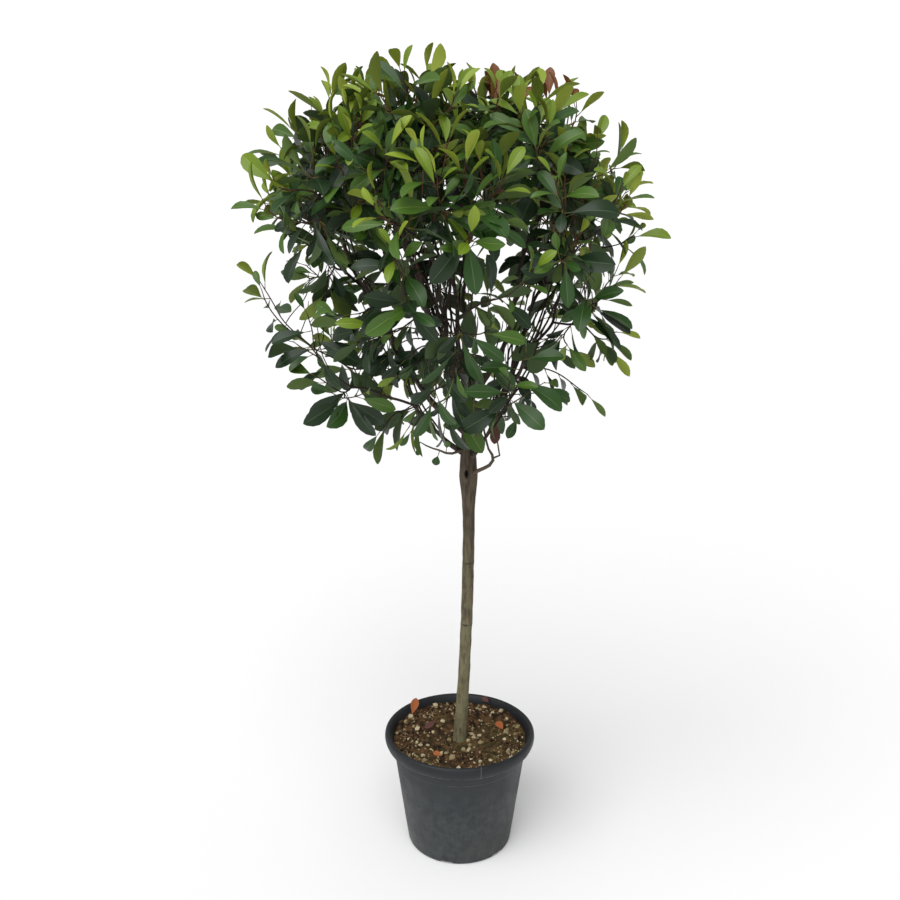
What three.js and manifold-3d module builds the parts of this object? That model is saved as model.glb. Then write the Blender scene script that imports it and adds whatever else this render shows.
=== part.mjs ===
// A clipped photinia grown as a ball on a clear stem, standing in a round nursery pot filled with soil.
// Millimetres, +Z up, origin at the middle of the pot's flat underside, front towards -Y.
// The trunk, each bough and each mass of leaves is a closed solid of its own.
import * as THREE from "three";
import { mergeVertices } from "three/addons/utils/BufferGeometryUtils.js";
import Module from "manifold-3d";

const wasm = await Module();
wasm.setup();

// Clearance between solids that meet
const GAP = 0.3;

// Pot
const POT_HEIGHT = 300;
const RIM_RADIUS = 190;
const RIM_INNER_RADIUS = 177;
const RIM_SKIRT = 32;
const WALL_TOP_RADIUS = 170;
const SHOULDER_DROP = 62;
const SHOULDER_STEP = 1.6;
const BASE_RADIUS = 131;
const BASE_ROUNDING = 6;
const WALL = 4;
const FLOOR = 10;
const POT_FACETS = 36;
const FOOT_NOTCHES = 6;
const NOTCH_WIDTH = 30;
const NOTCH_HEIGHT = 7;
const NOTCH_DEPTH = 20;
const NOTCH_TURN = THREE.MathUtils.degToRad(-15);

// Soil, filled to a little below the rim
const SOIL_LEVEL = 265;

// Trunk: heights are above the soil
const STEM_HEIGHT = 700;
const TRUNK_HEIGHT = 960;
const TRUNK_RADIUS = 14.2;
const ROOT_FLARE = 3.6;
const ROOT_FLARE_HEIGHT = 80;
const KNUCKLE_SWELL = 7.5;
const KNUCKLE_BELOW = 52;
const KNUCKLE_ABOVE = 90;
const LEADER_TIP_RADIUS = 7;
const TRUNK_BOW = [0, 20, 30, 8];
const TRUNK_SIDES = 12;
const TRUNK_STEPS = 20;

// Crown outline: a rounded drum above its middle and a round bowl below it
const CROWN_RADIUS = 500;
const CROWN_TOP = 1728;
const CROWN_BOTTOM = 720;
const CROWN_OFFSET_X = -34;
const CROWN_ROUND_ABOVE = 2.3;
const CROWN_ROUND_BELOW = 2;

// Boughs, in rings that leave the trunk one above another and climb more steeply
const HUB_HEIGHT = 800;
const BOUGH_RINGS = [
  { name: "low", count: 3, from: 738, rise: 28, climb: 29, turn: -62, reach: 0.22, radius: 7 },
  { name: "middle", count: 5, from: 790, rise: 70, climb: 51, turn: 34, reach: 0.36, radius: 8.5 },
  { name: "upper", count: 3, from: 874, rise: 54, climb: 72, turn: -20, reach: 0.44, radius: 6.8 },
];
const BOUGH_TURN_SPREAD = 14;
const BOUGH_CLIMB_SPREAD = 8;
const BOUGH_BOW = 0.16;
const BOUGH_DIP = 0.064;
const BOUGH_TAPER = 0.7;
const BOUGH_SIDES = 6;
const BOUGH_STEPS = 4;

// Twigs: the shoots end a little inside the crown's outline, a few of them deeper
const SHOOTS = 214;
const LOWEST_SHOOT = -0.95;
const SHOOT_INSET = 50;
const SHOOT_DEPTH = 0.42;
const DEEP_SHOOT_RARITY = 2.2;
const FORK_SHARE = 0.42;
const FORK_SETBACK = 0.12;
const TWIG_RADIUS = 1.9;
const TWIG_THICKENING = 0.42;
const TWIG_SIDES = 3;
const TWIG_ROLLS = 24;
const CELL_MARGIN = 9;
const SHORTEST_SHOOT = 45;

// Leaves, longer than the real 90 mm because the solids carry fewer of them
const LEAVES_PER_SHOOT = 5;
const LEAF_TURNS = 12;
const LEAF_SIZES = [1, 0.85, 0.7];
const LEAFY_LENGTH = 120;
const LEAF_LENGTH = 120;
const LEAF_WIDTH = 53;
const LEAF_THICKNESS = 2.4;
const LEAF_DROOP = 0.1;
const SHORTEST_LEAF = 0.85;
const LEAF_LENGTH_SPREAD = 0.3;
const TIP_LEAF = 0.82;
const FIRST_LEAF_INSET = 3;
const LEAF_TIP_ANGLE = THREE.MathUtils.degToRad(26);
const LEAF_BASE_ANGLE = THREE.MathUtils.degToRad(80);
const LEAF_ANGLE_CURVE = 0.8;
const SHOOT_TWIST = 2.4;
const LEAF_TO_LIGHT = 0.6;
const LEAF_CLEARANCE = 1.5;

// Faces thinner than this, and corners closer than this, count as slivers
const FINEST_DETAIL = 0.005;
const SLIVER_MARGIN = 0.99;

const GOLDEN_ANGLE = Math.PI * (3 - Math.sqrt(5));
const UP = new THREE.Vector3(0, 0, 1);

const finish = (color, roughness) => new THREE.MeshStandardMaterial({ color, roughness, metalness: 0 });
const PLASTIC = finish(0x3a3f45, 0.6);
const SOIL = finish(0x4b3a27, 0.95);
const BARK = finish(0x6d6852, 0.85);
const YOUNG_BARK = finish(0x57493d, 0.8);
const LEAF_GREEN = { low: 0x2f5a2a, middle: 0x3d6b26, upper: 0x5c8429, top: 0x6a9030 };

// Seeded chance: the same number from 0 to 1 each time for the same item and channel
function chance(item, channel) {
  const wave = Math.sin(item * 127.1 + channel * 311.7) * 43758.5453;
  return wave - Math.floor(wave);
}

function heading(azimuth, climb) {
  return new THREE.Vector3(
    Math.cos(climb) * Math.cos(azimuth),
    Math.cos(climb) * Math.sin(azimuth),
    Math.sin(climb),
  );
}

// Angles spread evenly over a full turn
function turns(count) {
  return Array.from({ length: count }, (_, i) => (2 * Math.PI * i) / count);
}

function mean(points) {
  const total = points.reduce((sum, point) => sum.add(point), new THREE.Vector3());
  return total.divideScalar(points.length);
}

// Solids and geometry
function solidOf(geometry) {
  const bare = geometry.clone();
  bare.deleteAttribute("normal");
  bare.deleteAttribute("uv");
  const merged = mergeVertices(bare);
  const mesh = new wasm.Mesh({
    numProp: 3,
    vertProperties: merged.attributes.position.array,
    triVerts: new Uint32Array(merged.index.array),
  });
  return new wasm.Manifold(mesh);
}

function geometryOf(solid) {
  const { vertProperties, triVerts } = solid.getMesh();
  const geometry = new THREE.BufferGeometry();
  geometry.setAttribute("position", new THREE.BufferAttribute(vertProperties, 3));
  geometry.setIndex(new THREE.BufferAttribute(triVerts, 1));
  geometry.computeVertexNormals();
  return geometry;
}

// The least height of any face of a solid, or the least distance between two of its corners if that is less
function finestDetail(solid) {
  const { vertProperties, triVerts } = solid.getMesh();
  const corners = [];
  for (let i = 0; i < vertProperties.length; i += 3) {
    corners.push(new THREE.Vector3().fromArray(vertProperties, i));
  }
  let finest = Infinity;
  for (let i = 0; i < triVerts.length; i += 3) {
    const face = new THREE.Triangle(...[0, 1, 2].map((k) => corners[triVerts[i + k]]));
    const longest = Math.max(face.a.distanceTo(face.b), face.b.distanceTo(face.c), face.c.distanceTo(face.a));
    finest = Math.min(finest, (2 * face.getArea()) / longest);
  }
  corners.sort((a, b) => a.x - b.x);
  for (let i = 0; i < corners.length; i++) {
    for (let j = i + 1; j < corners.length && corners[j].x - corners[i].x < finest; j++) {
      finest = Math.min(finest, corners[i].distanceTo(corners[j]));
    }
  }
  return finest;
}

// The main body of a solid, without loose scraps and with sealed hollows filled
function mainBody(solid) {
  const bodies = solid.decompose();
  return bodies.reduce((largest, body) => (body.volume() > largest.volume() ? body : largest));
}

function named(name, geometry, material) {
  const mesh = new THREE.Mesh(geometry, material);
  mesh.name = name;
  return mesh;
}

// A limb is a closed tube through stations { at, radius }. Each ring stands square to the limb,
// or to the direction `along` of a station that has one. A last radius of nothing ends the limb in a point.
function limb(stations, sides, facing) {
  const steps = stations.length - 1;
  const pointed = stations[steps].radius === 0;
  const geometry = new THREE.CylinderGeometry(pointed ? 0 : 1, 1, 1, sides, steps);
  const frames = limbFrames(stations, facing);
  const position = geometry.attributes.position;
  const local = new THREE.Vector3();
  for (let i = 0; i < position.count; i++) {
    local.fromBufferAttribute(position, i);
    const index = Math.round((local.y + 0.5) * steps);
    const { at, radius } = stations[index];
    const { across, outward } = frames[index];
    const scale = radius / (Math.hypot(local.x, local.z) || 1);
    const point = at.clone();
    point.addScaledVector(across, scale * local.x);
    point.addScaledVector(outward, scale * local.z);
    position.setXYZ(i, point.x, point.y, point.z);
  }
  return geometry;
}

// Frames carried along a limb without twist, starting from the direction it faces
function limbFrames(stations, facing) {
  const last = stations.length - 1;
  let outward = facing;
  return stations.map((station, i) => {
    const before = stations[Math.max(i - 1, 0)].at;
    const after = stations[Math.min(i + 1, last)].at;
    const along = station.along ?? after.clone().sub(before).normalize();
    outward = outward.clone().addScaledVector(along, -outward.dot(along)).normalize();
    return { along, outward, across: along.clone().cross(outward) };
  });
}

function anySide(along) {
  const reference = Math.abs(along.z) < 0.9 ? UP : new THREE.Vector3(1, 0, 0);
  return reference.clone().addScaledVector(along, -reference.dot(along)).normalize();
}

// Pot: a turned wall with a rolled rim, a stacking shoulder and notches in its foot
function wallRadius(height) {
  const rise = height / (POT_HEIGHT - RIM_SKIRT);
  return BASE_RADIUS + (WALL_TOP_RADIUS - BASE_RADIUS) * rise;
}

function potProfile() {
  const skirt = POT_HEIGHT - RIM_SKIRT;
  const shoulder = POT_HEIGHT - SHOULDER_DROP;
  return [
    [0, 0],
    [BASE_RADIUS - BASE_ROUNDING, 0],
    [BASE_RADIUS - BASE_ROUNDING * 0.3, BASE_ROUNDING * 0.4],
    [wallRadius(BASE_ROUNDING), BASE_ROUNDING],
    [wallRadius(shoulder) - SHOULDER_STEP, shoulder],
    [wallRadius(shoulder), shoulder + SHOULDER_STEP],
    [WALL_TOP_RADIUS, skirt],
    [RIM_RADIUS - 7, skirt],
    [RIM_RADIUS, skirt + 0.5 * RIM_SKIRT],
    [RIM_RADIUS - 1.5, skirt + 0.78 * RIM_SKIRT],
    [RIM_RADIUS - 5, POT_HEIGHT - 2],
    [(RIM_RADIUS + RIM_INNER_RADIUS) / 2, POT_HEIGHT],
    [RIM_INNER_RADIUS, POT_HEIGHT - 3],
    [WALL_TOP_RADIUS - WALL, skirt],
    [wallRadius(FLOOR) - WALL, FLOOR],
    [0, FLOOR],
  ].map(([radius, height]) => new THREE.Vector2(radius, height));
}

// A turned solid standing on +Z, from a profile of radius and height
function turned(profile) {
  return new THREE.LatheGeometry(profile, POT_FACETS).rotateX(Math.PI / 2);
}

function potGeometry() {
  let pot = solidOf(turned(potProfile()));
  for (let i = 0; i < FOOT_NOTCHES; i++) {
    const notch = new THREE.BoxGeometry(2 * NOTCH_DEPTH, NOTCH_WIDTH, 2 * NOTCH_HEIGHT);
    notch.translate(BASE_RADIUS, 0, 0);
    notch.rotateZ(NOTCH_TURN - Math.PI / 2 + (i * 2 * Math.PI) / FOOT_NOTCHES);
    pot = pot.subtract(solidOf(notch));
  }
  return geometryOf(pot);
}

function soilGeometry() {
  const profile = [
    [0, FLOOR + GAP],
    [wallRadius(FLOOR) - WALL - GAP, FLOOR + GAP],
    [wallRadius(SOIL_LEVEL) - WALL - GAP, SOIL_LEVEL],
    [0, SOIL_LEVEL],
  ];
  return turned(profile.map(([radius, height]) => new THREE.Vector2(radius, height)));
}

// Trunk: bows to one side, flares at the soil, swells where the boughs leave it and tapers to a leader
const TRUNK_LINE = new THREE.CubicBezierCurve3(
  ...TRUNK_BOW.map((bow, i) => new THREE.Vector3(bow, 0, (TRUNK_HEIGHT * i) / 3)),
);

function trunkRadius(height) {
  const flare = ROOT_FLARE * Math.exp(-height / ROOT_FLARE_HEIGHT);
  const spread = height < STEM_HEIGHT ? KNUCKLE_BELOW : KNUCKLE_ABOVE;
  const swell = KNUCKLE_SWELL * Math.exp(-(((height - STEM_HEIGHT) / spread) ** 2));
  const above = Math.max(0, (height - STEM_HEIGHT) / (TRUNK_HEIGHT - STEM_HEIGHT));
  return TRUNK_RADIUS + (LEADER_TIP_RADIUS - TRUNK_RADIUS) * above + flare + swell;
}

function trunkPoint(height) {
  return TRUNK_LINE.getPoint(height / TRUNK_HEIGHT);
}

function trunkStations(extra) {
  const stations = [];
  for (let i = 0; i <= TRUNK_STEPS; i++) {
    const height = (TRUNK_HEIGHT * i) / TRUNK_STEPS;
    stations.push({ at: trunkPoint(height), radius: trunkRadius(height) + extra });
  }
  // The foot is a level cut, and the leader's end is square to its line
  stations[0].along = UP;
  stations.at(-1).along = TRUNK_LINE.getTangent(1);
  return stations;
}

function trunkGeometry(extra) {
  return limb(trunkStations(extra), TRUNK_SIDES, new THREE.Vector3(0, -1, 0));
}

// Crown outline, measured from the middle of the crown
const CROWN_MIDDLE = new THREE.Vector3(CROWN_OFFSET_X, 0, (CROWN_TOP + CROWN_BOTTOM) / 2);
const CROWN_HALF_HEIGHT = (CROWN_TOP - CROWN_BOTTOM) / 2;
const HUB = trunkPoint(HUB_HEIGHT);

function crownReach(direction) {
  const power = direction.z > 0 ? CROWN_ROUND_ABOVE : CROWN_ROUND_BELOW;
  const level = Math.hypot(direction.x, direction.y) / CROWN_RADIUS;
  const upright = Math.abs(direction.z) / CROWN_HALF_HEIGHT;
  return (level ** power + upright ** power) ** (-1 / power);
}

function insideCrown(point) {
  const out = point.clone().sub(CROWN_MIDDLE);
  const distance = out.length();
  return distance <= crownReach(out.divideScalar(distance));
}

// Where the crown's outline lies, measured from the hub along a direction, found by halving
function reachFromHub(direction) {
  const halvings = 24;
  let near = 0;
  let far = 2 * CROWN_HALF_HEIGHT;
  for (let i = 0; i < halvings; i++) {
    const middle = (near + far) / 2;
    const inside = insideCrown(HUB.clone().addScaledVector(direction, middle));
    if (inside) near = middle;
    else far = middle;
  }
  return near;
}

// Boughs: each has an axis from the hub, which is also the axis of the space that its leaves keep to
function boughPlan() {
  const plan = [];
  for (const ring of BOUGH_RINGS) {
    for (let i = 0; i < ring.count; i++) {
      const turn = ring.turn + (360 * i) / ring.count + BOUGH_TURN_SPREAD * (chance(plan.length, 1) - 0.5);
      const climb = ring.climb + BOUGH_CLIMB_SPREAD * (chance(plan.length, 2) - 0.5);
      const axis = heading(THREE.MathUtils.degToRad(turn), THREE.MathUtils.degToRad(climb));
      // Neighbours in a ring leave the trunk at heights well apart
      const share = ((i % 2) + i / ring.count) / 2;
      plan.push({ name: `${ring.name}_${i + 1}`, ring, axis, start: ring.from + ring.rise * share });
    }
  }
  return plan;
}

// The line of a bough: out from the trunk, bowed outwards and down so that its end turns up
function boughLine({ ring, axis, start }) {
  const root = trunkPoint(start);
  const end = HUB.clone().addScaledVector(axis, ring.reach * reachFromHub(axis));
  const length = end.distanceTo(root);
  const outward = new THREE.Vector3(axis.x, axis.y, 0).normalize();
  const bend = root.clone().lerp(end, 0.5).addScaledVector(outward, BOUGH_BOW * length);
  bend.z -= BOUGH_DIP * length;
  return new THREE.QuadraticBezierCurve3(root, bend, end);
}

function boughStations(line, rootRadius, tipRadius) {
  return line.getPoints(BOUGH_STEPS).map((at, i) => {
    const share = i / BOUGH_STEPS;
    const along = i === BOUGH_STEPS ? line.getTangent(1) : undefined;
    return { at, along, radius: rootRadius + (tipRadius - rootRadius) * share ** BOUGH_TAPER };
  });
}

// Shoot tips, spread evenly over the crown's outline by the golden angle
function shootTips() {
  const tips = [];
  for (let i = 0; i < SHOOTS; i++) {
    const height = LOWEST_SHOOT + ((1 - LOWEST_SHOOT) * (i + 0.5)) / SHOOTS;
    const direction = heading(i * GOLDEN_ANGLE, Math.asin(height));
    const reach = crownReach(direction) - SHOOT_INSET;
    const depth = SHOOT_DEPTH * chance(i, 3) ** DEEP_SHOOT_RARITY;
    tips.push(CROWN_MIDDLE.clone().addScaledVector(direction, reach * (1 - depth)));
  }
  return tips;
}

// The space of a mass is a cone of directions from the hub: those closer to its axis than to any other.
// Returns how far a point lies inside it.
function cellDepth(point, axis, axes) {
  const out = point.clone().sub(HUB);
  let depth = Infinity;
  for (const other of axes) {
    if (other === axis) continue;
    const wall = axis.clone().sub(other).normalize();
    depth = Math.min(depth, out.dot(wall));
  }
  return depth;
}

// Moves a tip into its own space, clear of the walls
function pulledIn(tip, axis, axes) {
  const point = tip.clone();
  for (const other of axes) {
    if (other === axis) continue;
    const wall = axis.clone().sub(other).normalize();
    const short = CELL_MARGIN - point.clone().sub(HUB).dot(wall);
    if (short > 0) point.addScaledVector(wall, short);
  }
  return point;
}

// Deals the tips out to the spaces. A tip that does not lie ahead of its limb's end is left out.
function shareOutTips(axes, ends) {
  const shares = axes.map(() => []);
  for (const tip of shootTips()) {
    const out = tip.clone().sub(HUB);
    const nearness = axes.map((axis) => out.dot(axis));
    const owner = nearness.indexOf(Math.max(...nearness));
    const aim = pulledIn(tip, axes[owner], axes);
    const ahead = aim.clone().sub(ends[owner]).dot(axes[owner]);
    if (ahead > SHORTEST_SHOOT) shares[owner].push(aim);
  }
  return shares;
}

// Twigs: a stem climbs towards the middle of its shoot tips and forks, the tips part in two by their widest
// spread, the half that lies ahead carries the stem on and the other half starts a twig of its own.
function growTwigs(root, along, tips) {
  const twigs = [];
  function grow(twig, forward, aims) {
    const from = twig.at(-1).at;
    if (aims.length === 1) {
      twig.push({ at: aims[0], carries: 1 });
      twigs.push(twig);
      return;
    }
    const fork = from.clone().lerp(mean(aims), FORK_SHARE);
    const ahead = fork.clone().sub(from).normalize();
    twig.push({ at: fork, carries: aims.length });
    const lead = (part) => mean(part).sub(fork).normalize().dot(forward);
    const [main, side] = partInTwo(aims).sort((a, b) => lead(b) - lead(a));
    grow(twig, ahead, main);
    grow([{ at: fork.clone().lerp(from, FORK_SETBACK), carries: side.length }], ahead, side);
  }
  grow([{ at: root, carries: tips.length, along }], along, tips);
  return twigs;
}

function partInTwo(points) {
  const centre = mean(points);
  const spreadAlong = (key) => points.reduce((sum, point) => sum + (point[key] - centre[key]) ** 2, 0);
  const [key] = ["x", "y", "z"].sort((a, b) => spreadAlong(b) - spreadAlong(a));
  const sorted = [...points].sort((a, b) => a[key] - b[key]);
  const half = Math.floor(sorted.length / 2);
  return [sorted.slice(0, half), sorted.slice(half)];
}

function twigRadius(carries) {
  return TWIG_RADIUS * carries ** TWIG_THICKENING;
}

function twigGeometry(twig, roll) {
  const last = twig.length - 1;
  const stations = twig.map(({ at, carries, along }, i) => {
    return { at, along, radius: i === last ? 0 : twigRadius(carries) };
  });
  const start = twig[1].at.clone().sub(twig[0].at).normalize();
  return limb(stations, TWIG_SIDES, anySide(start).applyAxisAngle(start, roll));
}

// The point and direction on a twig, a distance back from its tip
function backFromTip(twig, distance) {
  let left = distance;
  for (let i = twig.length - 1; i > 0; i--) {
    const step = twig[i].at.clone().sub(twig[i - 1].at);
    const length = step.length();
    step.divideScalar(length);
    if (left <= length || i === 1) {
      return { at: twig[i].at.clone().addScaledVector(step, -Math.min(left, 0.9 * length)), along: step };
    }
    left -= length;
  }
}

// Leaves: placed round each shoot by the golden angle, upright at the tip and spreading lower down
function leafPlace(twig, item, index, turn, size) {
  const share = index / (LEAVES_PER_SHOOT - 1);
  const { at, along } = backFromTip(twig, FIRST_LEAF_INSET + LEAFY_LENGTH * share);
  const side = anySide(along).applyAxisAngle(along, item * SHOOT_TWIST + index * GOLDEN_ANGLE + turn);
  const angle = LEAF_TIP_ANGLE + (LEAF_BASE_ANGLE - LEAF_TIP_ANGLE) * share ** LEAF_ANGLE_CURVE;
  const out = along.clone().multiplyScalar(Math.cos(angle)).addScaledVector(side, Math.sin(angle));
  const face = along.clone().multiplyScalar(Math.sin(angle)).addScaledVector(side, -Math.cos(angle));
  const light = at.clone().sub(CROWN_MIDDLE).normalize().add(UP).multiplyScalar(LEAF_TO_LIGHT);
  face.add(light).addScaledVector(out, -light.dot(out)).normalize();
  const vigour = SHORTEST_LEAF + LEAF_LENGTH_SPREAD * chance(item * 7 + index, 4);
  const scale = size * vigour * (TIP_LEAF + (1 - TIP_LEAF) * share);
  return { at, out, face, across: face.clone().cross(out), scale };
}

// A corner of a leaf: shares of its length and half width, and on its upper or its under side
function leafCorner({ at, out, face, across, scale }, [along, aside, level]) {
  const length = scale * LEAF_LENGTH;
  const sink = LEAF_DROOP * length * along ** 2;
  return at
    .clone()
    .addScaledVector(out, along * length)
    .addScaledVector(across, (aside * scale * LEAF_WIDTH) / 2)
    .addScaledVector(face, (level * LEAF_THICKNESS) / 2 - sink);
}

// A leaf is an octahedron pressed flat along its three-fold axis, which gives six corners round the blade:
// opposite corners of the octahedron are the leaf's root and tip, and the two pairs of its sides.
const LEAF_CORNERS = {
  x: { high: [1, 0, 1], low: [0, 0, -1] },
  y: { high: [0.36, 0.92, 1], low: [0.7, -1, -1] },
  z: { high: [0.36, -0.92, 1], low: [0.7, 1, -1] },
};

function leafGeometry(place) {
  const geometry = new THREE.OctahedronGeometry(1);
  const position = geometry.attributes.position;
  const local = new THREE.Vector3();
  for (let i = 0; i < position.count; i++) {
    local.fromBufferAttribute(position, i);
    const axis = ["x", "y", "z"].find((key) => Math.abs(local[key]) > 0.5);
    const point = leafCorner(place, LEAF_CORNERS[axis][local[axis] > 0 ? "high" : "low"]);
    position.setXYZ(i, point.x, point.y, point.z);
  }
  return geometry;
}

const LEAF_BELLY = [0.55, 0, 0];

// Points of a leaf that must lie clear of everything else: its neck, its belly and all corners but its root
const LEAF_NECK = [0.25, 0, 0];
const LEAF_TESTS = Object.values(LEAF_CORNERS)
  .flatMap(({ high, low }) => [high, low])
  .filter(([along]) => along > 0)
  .concat([LEAF_NECK, LEAF_BELLY]);

// How far a point lies from the surface of the nearest of the trunk and boughs
function limbDistance(point, limbs) {
  let nearest = Infinity;
  const closest = new THREE.Vector3();
  for (const stations of limbs) {
    for (let i = 1; i < stations.length; i++) {
      const [from, to] = [stations[i - 1], stations[i]];
      new THREE.Line3(from.at, to.at).closestPointToPoint(point, true, closest);
      nearest = Math.min(nearest, closest.distanceTo(point) - Math.max(from.radius, to.radius));
    }
  }
  return nearest;
}

// Twigs of a mass as solids. Each is rolled about its line to leave its parent without slivers, in few faces.
function woodSolids(twigs) {
  const wood = [];
  let fused = null;
  for (const twig of twigs) {
    const rolls = turns(TWIG_ROLLS).map((turn) => solidOf(twigGeometry(twig, turn / TWIG_SIDES)));
    const joins = rolls.map((roll) => (fused ? fused.add(roll) : roll));
    const detail = joins.map((join) => Math.min(finestDetail(join), FINEST_DETAIL));
    const faces = joins.map((join) => join.numTri());
    const [best] = [...rolls.keys()].sort((a, b) => detail[b] - detail[a] || faces[a] - faces[b]);
    fused = joins[best];
    wood.push(rolls[best]);
  }
  return wood;
}

// How far a leaf would lie from the leaves already placed
function room(place, bellies) {
  const belly = leafCorner(place, LEAF_BELLY);
  return Math.min(...bellies.map((other) => other.distanceTo(belly)));
}

// Ways for a leaf to stand on its shoot that keep to the mass's space, the one with the most room first
function leafPlaces(twig, item, index, fits, bellies) {
  const places = LEAF_SIZES.flatMap((size) =>
    turns(LEAF_TURNS).map((turn) => leafPlace(twig, item, index, turn, size)),
  );
  return places
    .filter((place) => LEAF_TESTS.every((corner) => fits(leafCorner(place, corner))))
    .sort((a, b) => b.scale * room(b, bellies) - a.scale * room(a, bellies));
}

// A mass: its twigs and leaves fused to one solid. Each leaf takes the first place where it touches no other
// leaf or twig and joins its own twig without slivers. A leaf with no such place is left off.
function massGeometry(twigs, seed, fits, bellies) {
  const wood = woodSolids(twigs);
  const leaves = [];
  let mass = wasm.Manifold.union(wood);
  const sliver = Math.min(FINEST_DETAIL, SLIVER_MARGIN * finestDetail(mass));
  twigs.forEach((twig, t) => {
    const otherWood = wood.filter((_, i) => i !== t);
    const touches = (leaf) => [...otherWood, ...leaves].some((other) => !leaf.intersect(other).isEmpty());
    for (let index = 0; index < LEAVES_PER_SHOOT; index++) {
      for (const place of leafPlaces(twig, seed * 100 + t, index, fits, bellies)) {
        const leaf = solidOf(leafGeometry(place));
        if (touches(leaf)) continue;
        const grown = mass.add(leaf);
        if (finestDetail(grown) < sliver) continue;
        mass = grown;
        leaves.push(leaf);
        bellies.push(leafCorner(place, LEAF_BELLY));
        break;
      }
    }
  });
  return geometryOf(mainBody(mass));
}

function boughGeometry(stations, trunkSleeve) {
  const along = stations[1].at.clone().sub(stations[0].at).normalize();
  const whole = solidOf(limb(stations, BOUGH_SIDES, anySide(along)));
  return geometryOf(mainBody(whole.subtract(trunkSleeve)));
}

// Trunk, boughs and leaf masses, standing on the soil. The leader's mass grows on from the trunk's own end.
function buildPlant() {
  const plant = new THREE.Group();
  plant.position.z = SOIL_LEVEL + GAP;
  plant.add(named("trunk", trunkGeometry(0), BARK));

  const boughs = boughPlan();
  const lines = boughs.map(boughLine);
  const axes = [...boughs.map((bough) => bough.axis), UP];
  const ends = [...lines.map((line) => line.getPoint(1)), trunkPoint(TRUNK_HEIGHT)];
  const shares = shareOutTips(axes, ends);

  const trunkSleeve = solidOf(trunkGeometry(GAP));
  const boughRings = boughs.map(({ ring }, i) =>
    boughStations(lines[i], ring.radius, twigRadius(shares[i].length)),
  );
  boughs.forEach(({ name }, i) => {
    plant.add(named(`bough_${name}`, boughGeometry(boughRings[i], trunkSleeve), YOUNG_BARK));
  });

  const limbs = [trunkStations(0), ...boughRings];
  const bellies = [CROWN_MIDDLE];
  [...lines, TRUNK_LINE].forEach((line, i) => {
    const fits = (point) =>
      cellDepth(point, axes[i], axes) > LEAF_CLEARANCE &&
      insideCrown(point) &&
      limbDistance(point, limbs) > LEAF_CLEARANCE;
    const along = line.getTangent(1);
    const twigs = growTwigs(ends[i].clone().addScaledVector(along, GAP), along, shares[i]);
    const name = boughs[i]?.name ?? "top";
    const green = LEAF_GREEN[boughs[i]?.ring.name ?? "top"];
    plant.add(named(`leaves_${name}`, massGeometry(twigs, i, fits, bellies), finish(green, 0.5)));
  });
  return plant;
}

const tree = new THREE.Group();
tree.add(named("pot", potGeometry(), PLASTIC));
tree.add(named("soil", soilGeometry(), SOIL));
tree.add(buildPlant());

export default tree;
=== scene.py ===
# A photinia ball on a clear stem: bark, twigs, leaves, pot and soil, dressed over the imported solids.
# Metres, +Z up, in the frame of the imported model: origin under the middle of the pot, front towards -Y.
import math
from collections import namedtuple

import bpy
import numpy as np
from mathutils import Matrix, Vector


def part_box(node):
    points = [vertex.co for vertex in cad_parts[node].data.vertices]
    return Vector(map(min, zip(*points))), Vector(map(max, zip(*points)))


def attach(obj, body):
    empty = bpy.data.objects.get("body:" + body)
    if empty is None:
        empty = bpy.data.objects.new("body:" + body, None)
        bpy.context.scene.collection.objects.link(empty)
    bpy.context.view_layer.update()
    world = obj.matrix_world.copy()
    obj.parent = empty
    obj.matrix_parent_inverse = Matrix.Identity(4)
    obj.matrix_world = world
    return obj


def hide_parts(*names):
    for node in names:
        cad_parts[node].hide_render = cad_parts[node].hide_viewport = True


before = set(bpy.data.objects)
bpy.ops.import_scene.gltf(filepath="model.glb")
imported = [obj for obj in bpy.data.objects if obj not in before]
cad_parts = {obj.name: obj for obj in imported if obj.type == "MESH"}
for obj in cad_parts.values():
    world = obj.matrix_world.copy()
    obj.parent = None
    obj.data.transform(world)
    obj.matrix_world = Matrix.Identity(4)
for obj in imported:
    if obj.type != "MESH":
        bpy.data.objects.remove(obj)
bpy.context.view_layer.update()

UP = np.array([0.0, 0.0, 1.0])
NEARLY_UP = UP + (0.2, 0, 0)
FULL_TURN = 2 * math.pi
GOLDEN_ANGLE = math.pi * (3 - math.sqrt(5))

# Pot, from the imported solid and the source's sizes
POT_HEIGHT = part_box("pot")[1].z
RIM_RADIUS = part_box("pot")[1].x
RIM_INNER_RADIUS = 0.177
RIM_SKIRT = 0.032
LIP_HEIGHT = POT_HEIGHT - RIM_SKIRT
WALL_TOP_RADIUS = 0.170
SHOULDER_DROP = 0.062
SHOULDER_HEIGHT = POT_HEIGHT - SHOULDER_DROP
SHOULDER_STEP = 0.0016
BASE_RADIUS = 0.131
WALL = 0.004
FLOOR = 0.010
FOOT_NOTCHES = 6
NOTCH_WIDTH = 0.030
NOTCH_HEIGHT = 0.007
NOTCH_DEPTH = 0.020
NOTCH_SIDE_SLOPE = 0.0015
NOTCH_BACK_SLOPE = 0.001
NOTCH_TURN = math.radians(-15)
SEAM_TURN = math.radians(15)
SEAM_HALF_WIDTH = 0.0008
POT_COLUMNS = 240
POT_CREASE = math.radians(40)

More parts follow.
